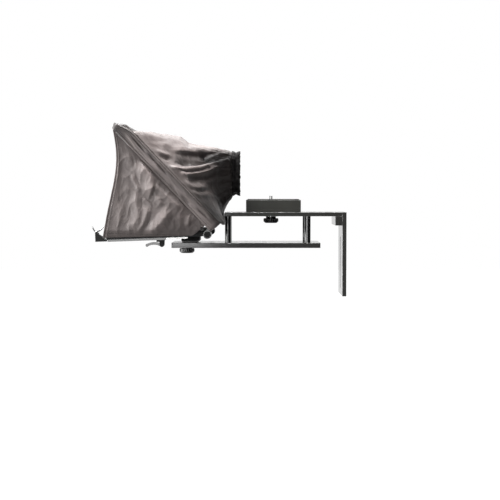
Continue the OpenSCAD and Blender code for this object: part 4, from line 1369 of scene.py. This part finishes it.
@dataclass
class StitchRow:
    """A row of short raised stitches along a line on a sheet."""

    name: str
    path: np.ndarray
    normals: np.ndarray
    pitch: float = 4.2 * MM
    length: float = 2.8 * MM
    radius: float = 0.32 * MM
    rise: float = 0.1 * MM
    look_ahead: float = 1 * MM

    def build(self) -> bpy.types.Object:
        """Sets a stitch at every step of the line.

        Returns:
            The row as one object.
        """
        steps = np.linalg.norm(np.diff(self.path, axis=0), axis=1)
        travelled = np.concatenate([[0.0], np.cumsum(steps)])

        def at_distance(values: np.ndarray, distance: float) -> Vector:
            """The value at a distance along the line."""
            return Vector([np.interp(distance, travelled, values[:, i]) for i in range(3)])

        shape = bmesh.new()
        for distance in np.arange(self.pitch, travelled[-1] - self.pitch, self.pitch):
            at = at_distance(self.path, distance)
            up = at_distance(self.normals, distance).normalized()
            along = (at_distance(self.path, distance + self.look_ahead) - at).normalized()
            side = up.cross(along).normalized()
            turn = Matrix((along, side, along.cross(side))).transposed().to_4x4()
            size = Matrix.Diagonal((self.length / 2, self.radius, self.radius, 1.0))
            place = Matrix.Translation(at + up * self.rise) @ turn @ size
            bmesh.ops.create_icosphere(shape, subdivisions=1, radius=1.0, matrix=place)
        bmesh.ops.recalc_face_normals(shape, faces=shape.faces)
        for face in shape.faces:
            face.smooth = True
        return add_object(self.name, shape)


class Hood:
    """The sewn hood: two side panels, the cuff, the sleeve and the collar."""

    PANEL_KEEP = 0.12
    PANEL_FLAT = (0.245, 0.225)
    PANEL_AREA = 0.0206
    HEM_COLUMNS = 6
    HEM_ROWS = 5
    FIRST_COLUMN = 4
    FIRST_ROW = 2

    def __init__(self, rig: Rig, finishes: FinishBook) -> None:
        """Keeps the rig's places and the finishes."""
        self.rig = rig
        self.finishes = finishes

    def build(self) -> Iterable[bpy.types.Object]:
        """Builds every piece of the hood.

        Returns:
            The finished pieces.
        """
        pieces = [piece for side in Side for piece in self.build_panel(side)]
        pieces += self.build_cuff()
        pieces += self.build_sleeve()
        pieces += self.build_collar()
        return pieces

    def build_panel(self, side: Side) -> list[bpy.types.Object]:
        """Builds one side panel with its stitches.

        Args:
            side: The side it hangs on.

        Returns:
            The panel and its stitch rows.
        """
        node = f"hood_panel_{side.name.lower()}"
        panel = SidePanel(self.rig, f"{node}_cloth", columns=170, rows=120, side=side)
        sheet = panel.build()
        normals = surface_normals(panel.points, False)
        normals = normals * np.sign(normals[..., 1:2]) * side.value
        column, row = panel.columns - self.HEM_COLUMNS, panel.rows - self.HEM_ROWS
        runs = {
            f"{node}_front_stitches": (slice(self.FIRST_ROW, row), column),
            f"{node}_foot_stitches": (row, slice(self.FIRST_COLUMN, column)),
        }
        stitches = [StitchRow(name, panel.points[run], normals[run]).build() for name, run in runs.items()]
        for piece in [sheet, *stitches]:
            self.finishes.dress(piece, Slot.HOOD if piece is sheet else Slot.COLLAR)
            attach(piece, Body.TRAY.value)
            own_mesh(piece)
        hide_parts(node)
        return [sheet, *stitches]

    def build_cuff(self) -> list[bpy.types.Object]:
        """Builds the cuff with a stitch row along each of its edges.

        Returns:
            The cuff and its stitch rows.
        """
        cuff = FrameCuff(self.rig, "hood_cuff_cloth", columns=420, rows=50, closed=True)
        sheet = cuff.build()
        normals = surface_normals(cuff.points, True)
        centre = cuff.points.reshape(-1, 3).mean(axis=0)
        normals = normals * np.sign(np.sum(normals * (cuff.points - centre), axis=-1, keepdims=True))
        stitches = []
        for label, seam in zip(("lower", "upper"), cuff.seams):
            row = round(seam.at * cuff.rows)
            line = StitchRow(f"hood_cuff_{label}_stitches", cuff.points[row], normals[row])
            stitches.append(line.build())
        self._fix(sheet, Slot.HOOD, "hood_cuff")
        for piece in stitches:
            self._fix(piece, Slot.COLLAR)
        return [sheet, *stitches]

    def build_sleeve(self) -> list[bpy.types.Object]:
        """Builds the sleeve behind the frame.

        Returns:
            The sleeve.
        """
        sheet = LensSleeve(self.rig, "hood_sleeve_cloth", columns=400, rows=112, closed=True).build()
        self._fix(sheet, Slot.HOOD, "hood_sleeve")
        return [sheet]

    def build_collar(self) -> list[bpy.types.Object]:
        """Builds the gathered collar.

        Returns:
            The collar.
        """
        sheet = LensCollar(self.rig, "hood_collar_cloth", columns=360, rows=24, closed=True).build()
        self._fix(sheet, Slot.COLLAR, "hood_collar")
        return [sheet]

    def _fix(self, piece: bpy.types.Object, slot: Slot, node: str | None = None) -> None:
        """Dresses a piece and lets it move with the mirror frame.

        Args:
            piece: The piece.
            slot: The slot whose finish it takes.
            node: The node that it replaces, if any.
        """
        self.finishes.dress(piece, slot)
        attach(piece, Body.MIRROR.value)
        if node:
            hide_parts(node)


@dataclass
class SoftenedPart:
    """A machined or moulded solid, copied with its outer edges broken."""

    node: str
    slot: Slot
    body: Body
    width: float = 0.6 * MM
    shortest: float = 6 * MM
    sharp: float = math.radians(35)
    bend: float = math.radians(25)
    flat: float = math.radians(0.5)

    def build(self, frame: dict) -> bpy.types.Object:
        """Copies the solid's mesh and bevels its outer edges.

        Args:
            frame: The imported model.

        Returns:
            The softened copy.
        """
        shape = bmesh.new()
        shape.from_mesh(frame["nodes"][self.node].data)
        bmesh.ops.remove_doubles(shape, verts=shape.verts, dist=WELD)
        bmesh.ops.dissolve_limit(shape, angle_limit=self.flat, verts=shape.verts, edges=shape.edges)
        lighter_mark = shape.loops.layers.float.new(WEAR_LAYER)
        result = bmesh.ops.bevel(shape, geom=self._rims(shape), offset=self.width, offset_type="OFFSET",
                                 segments=3, profile=0.5, affect="EDGES", clamp_overlap=True, material=-1)
        for face in result["faces"]:
            for loop in face.loops:
                loop[lighter_mark] = 1.0
        for face in shape.faces:
            face.smooth = True
        piece = add_object(f"{self.node}_finished", shape)
        piece.data.set_sharp_from_angle(angle=self.sharp)
        piece.modifiers.new("even_shading", "WEIGHTED_NORMAL").keep_sharp = True
        return piece

    def _rims(self, shape: bmesh.types.BMesh) -> list[bmesh.types.BMEdge]:
        """Long outer edges, with the short edges of rounded corners that run on from them.

        Args:
            shape: The solid's merged shape.

        Returns:
            The edges to break.
        """
        outer = {e for e in shape.edges if e.is_manifold and e.calc_face_angle_signed(0.0) > self.sharp}
        chosen = {e for e in outer if e.calc_length() >= self.shortest}
        waiting = list(chosen)
        while waiting:
            edge = waiting.pop()
            for vert in edge.verts:
                along = (edge.other_vert(vert).co - vert.co).normalized()
                for other in vert.link_edges:
                    onward = (vert.co - other.other_vert(vert).co).normalized()
                    if other in outer and other not in chosen and along.angle(onward, math.pi) < self.bend:
                        chosen.add(other)
                        waiting.append(other)
        return list(chosen)


class Metalwork:
    """Every hard piece: the plates and blocks softened, and the rest dressed as they are."""

    SOFTENED = (
        SoftenedPart("base_plate", Slot.GREY_ANODISED, Body.BASE, 0.7 * MM),
        SoftenedPart("camera_plate", Slot.BLACK_ANODISED, Body.BASE, 0.7 * MM),
        SoftenedPart("rear_plate", Slot.BLACK_ANODISED, Body.BASE, 0.7 * MM),
        SoftenedPart("corner_block", Slot.BLACK_ANODISED, Body.BASE, 0.5 * MM),
        SoftenedPart("riser_block", Slot.BLOCK, Body.CARRIAGE, 1.0 * MM),
        SoftenedPart("riser_pad", Slot.RUBBER, Body.CARRIAGE, 0.4 * MM),
        SoftenedPart("tray_foot", Slot.BLACK_COAT, Body.TRAY, 0.6 * MM),
        SoftenedPart("tray_plate", Slot.BLACK_COAT, Body.TRAY, 0.35 * MM),
        SoftenedPart("rear_stop", Slot.BLACK_COAT, Body.TRAY, 0.6 * MM),
        SoftenedPart("clamp_block", Slot.BLACK_COAT, Body.TRAY, 0.4 * MM),
        SoftenedPart("front_stop", Slot.BLACK_COAT, Body.STOP, 0.4 * MM),
        SoftenedPart("clamp_lever", Slot.GREY_ANODISED, Body.LEVER, 0.7 * MM),
    )

    def __init__(self, frame: dict, finishes: FinishBook) -> None:
        """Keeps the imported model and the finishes."""
        self.frame = frame
        self.finishes = finishes

    def build(self) -> Iterable[bpy.types.Object]:
        """Softens the plates and blocks, and dresses every node with its slot's finish.

        Returns:
            The softened pieces.
        """
        pieces = []
        for part in self.SOFTENED:
            piece = part.build(self.frame)
            self.finishes.dress(piece, part.slot)
            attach(piece, part.body.value)
            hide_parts(part.node)
            pieces.append(piece)
        for part in self.frame["record"]["subparts"]:
            self.finishes.dress(self.frame["nodes"][part["node"]], Slot(part["material_slot"]))
        return pieces


@dataclass(frozen=True)
class Softbox:
    """A soft oblong light that faces the hood."""

    name: str
    place: Place
    size: tuple[float, float]
    power: float
    aim: Place = (-0.1, 0.0, 0.1)

    def build(self) -> None:
        """Hangs the light."""
        lamp = bpy.data.lights.new(self.name, "AREA")
        lamp.shape = "RECTANGLE"
        lamp.size, lamp.size_y = self.size
        lamp.energy = self.power
        light = bpy.data.objects.new(self.name, lamp)
        light.location = self.place
        way = Vector(self.aim) - Vector(self.place)
        light.rotation_euler = way.to_track_quat("-Z", "Y").to_euler()
        bpy.context.scene.collection.objects.link(light)


@dataclass
class Studio:
    """White room, soft lights and the camera."""

    eye: Place = (0.008, -2.7, 0.1114)
    pitch: float = math.radians(-2.5)
    lens: float = 97.2
    sensor: float = 36.0
    far_clip: float = 100.0
    lights: tuple[Softbox, ...] = (
        Softbox("key_softbox", (-2.5, -0.5, 0.8), (1.2, 2.2), 145.0),
        Softbox("back_softbox", (0.2, 1.9, 1.6), (1.5, 1.0), 16.0),
        Softbox("front_softbox", (-1.8, -2.0, 0.4), (0.6, 1.6), 28.0),
        Softbox("top_softbox", (-0.3, -0.3, 2.3), (0.8, 0.6), 185.0),
        Softbox("left_strip", (-0.55, -3.5, 0.1), (0.7, 0.6), 12.0),
        Softbox("right_strip", (1.0, -3.2, 0.3), (0.3, 0.6), 2.0),
    )
    floor_z: float = -0.75
    floor_half: float = 12.0
    floor_grey: float = 0.15
    lit_from: float = 0.5
    flag_z: float = 0.212
    flag_grey: float = 0.01
    flag_edge: Line = (
        (-100, -62), (-62, -76), (-58, -108), (-92, -124), (-104, -175), (-6, -175), (-6, -18), (-45, -31)
    )
    room: float = 0.03
    backdrop: float = 1.0
    ceiling: float = 0.12

    def build(self) -> None:
        """Sets the camera, the lights, the floor and the world."""
        scene = bpy.context.scene
        camera = bpy.data.objects.new("camera", bpy.data.cameras.new("camera"))
        camera.location = self.eye
        camera.rotation_euler = (math.pi / 2 + self.pitch, 0.0, 0.0)
        camera.data.lens = self.lens
        camera.data.sensor_width = self.sensor
        camera.data.clip_end = self.far_clip
        scene.collection.objects.link(camera)
        scene.camera = camera
        scene.view_settings.view_transform = "Standard"
        self._world(scene)
        for light in self.lights:
            light.build()
        self._floor()
        self._flag()

    def _world(self, scene: bpy.types.Scene) -> None:
        """A white backdrop behind the rig, and a dimmer room on the camera's side.

        Args:
            scene: The scene that gets the world.
        """
        world = bpy.data.worlds.new("white_room")
        world.use_nodes = True
        sketch = Sketch(world.node_tree)
        background = world.node_tree.nodes["Background"]
        background.inputs["Color"].default_value = WHITE
        way = sketch.add("ShaderNodeTexCoord").outputs["Generated"]
        place = sketch.add("ShaderNodeSeparateXYZ", {"Vector": way})
        room = sketch.span(place.outputs["Y"], 0.15, 0.6, self.room, self.backdrop)
        above = sketch.span(place.outputs["Z"], 0.5, 0.9, 0.0, self.ceiling)
        seen = sketch.add("ShaderNodeLightPath").outputs["Is Camera Ray"]
        lit = sketch.math("MAXIMUM", room, above)
        sketch.feed(background.inputs["Strength"], sketch.math("MAXIMUM", lit, seen))
        scene.world = world

    def _floor(self) -> None:
        """A plain pale floor."""
        shape = bmesh.new()
        bmesh.ops.create_grid(shape, x_segments=2, y_segments=2, size=self.floor_half,
                              matrix=Matrix.Translation((0.0, 0.0, self.floor_z)))
        floor = add_object("floor", shape)
        material, shader = self._plain(floor, "pale_floor", self.floor_grey)
        shader.inputs["Roughness"].default_value = 0.9
        shader.inputs["Emission Color"].default_value = WHITE
        sketch = Sketch(material.node_tree)
        path = sketch.add("ShaderNodeLightPath").outputs
        place = sketch.add("ShaderNodeTexCoord").outputs["Object"]
        depth = sketch.add("ShaderNodeSeparateXYZ", {"Vector": place}).outputs["Y"]
        behind = sketch.math("GREATER_THAN", depth, self.lit_from)
        mirrored = sketch.math("MULTIPLY", path["Is Glossy Ray"], behind)
        seen = sketch.math("MAXIMUM", path["Is Camera Ray"], mirrored)
        sketch.feed(shader.inputs["Emission Strength"], seen)

    def _flag(self) -> None:
        """A flag above the hood, out of sight, that keeps the top light off its rear side."""
        shape = bmesh.new()
        edge = [shape.verts.new((x * MM, y * MM, self.flag_z)) for x, y in self.flag_edge]
        shape.faces.new(edge)
        flag = add_object("light_flag", shape)
        flag.visible_camera = False
        flag.visible_glossy = False
        self._plain(flag, "flag_black", self.flag_grey)

    @staticmethod
    def _plain(
        piece: bpy.types.Object, name: str, grey: float
    ) -> tuple[bpy.types.Material, bpy.types.Node]:
        """Gives a piece of the stage one plain grey.

        Args:
            piece: The piece.
            name: The material's name.
            grey: How light the grey is.

        Returns:
            The material and its shader node.
        """
        material = bpy.data.materials.new(name)
        material.use_nodes = True
        shader = material.node_tree.nodes["Principled BSDF"]
        shader.inputs["Base Color"].default_value = (grey, grey, grey, 1.0)
        piece.data.materials.append(material)
        return material, shader


def main() -> None:
    """Builds the rig's looks in order."""
    logging.basicConfig(level=logging.INFO, format="%(name)s: %(message)s")
    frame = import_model()
    finishes = FinishBook()
    Studio().build()
    for assembly in (Metalwork(frame, finishes), Hood(Rig(), finishes)):
        for piece in assembly.build():
            LOG.info("%s: %d faces", piece.name, len(piece.data.polygons))


if __name__ == "__main__":
    main()
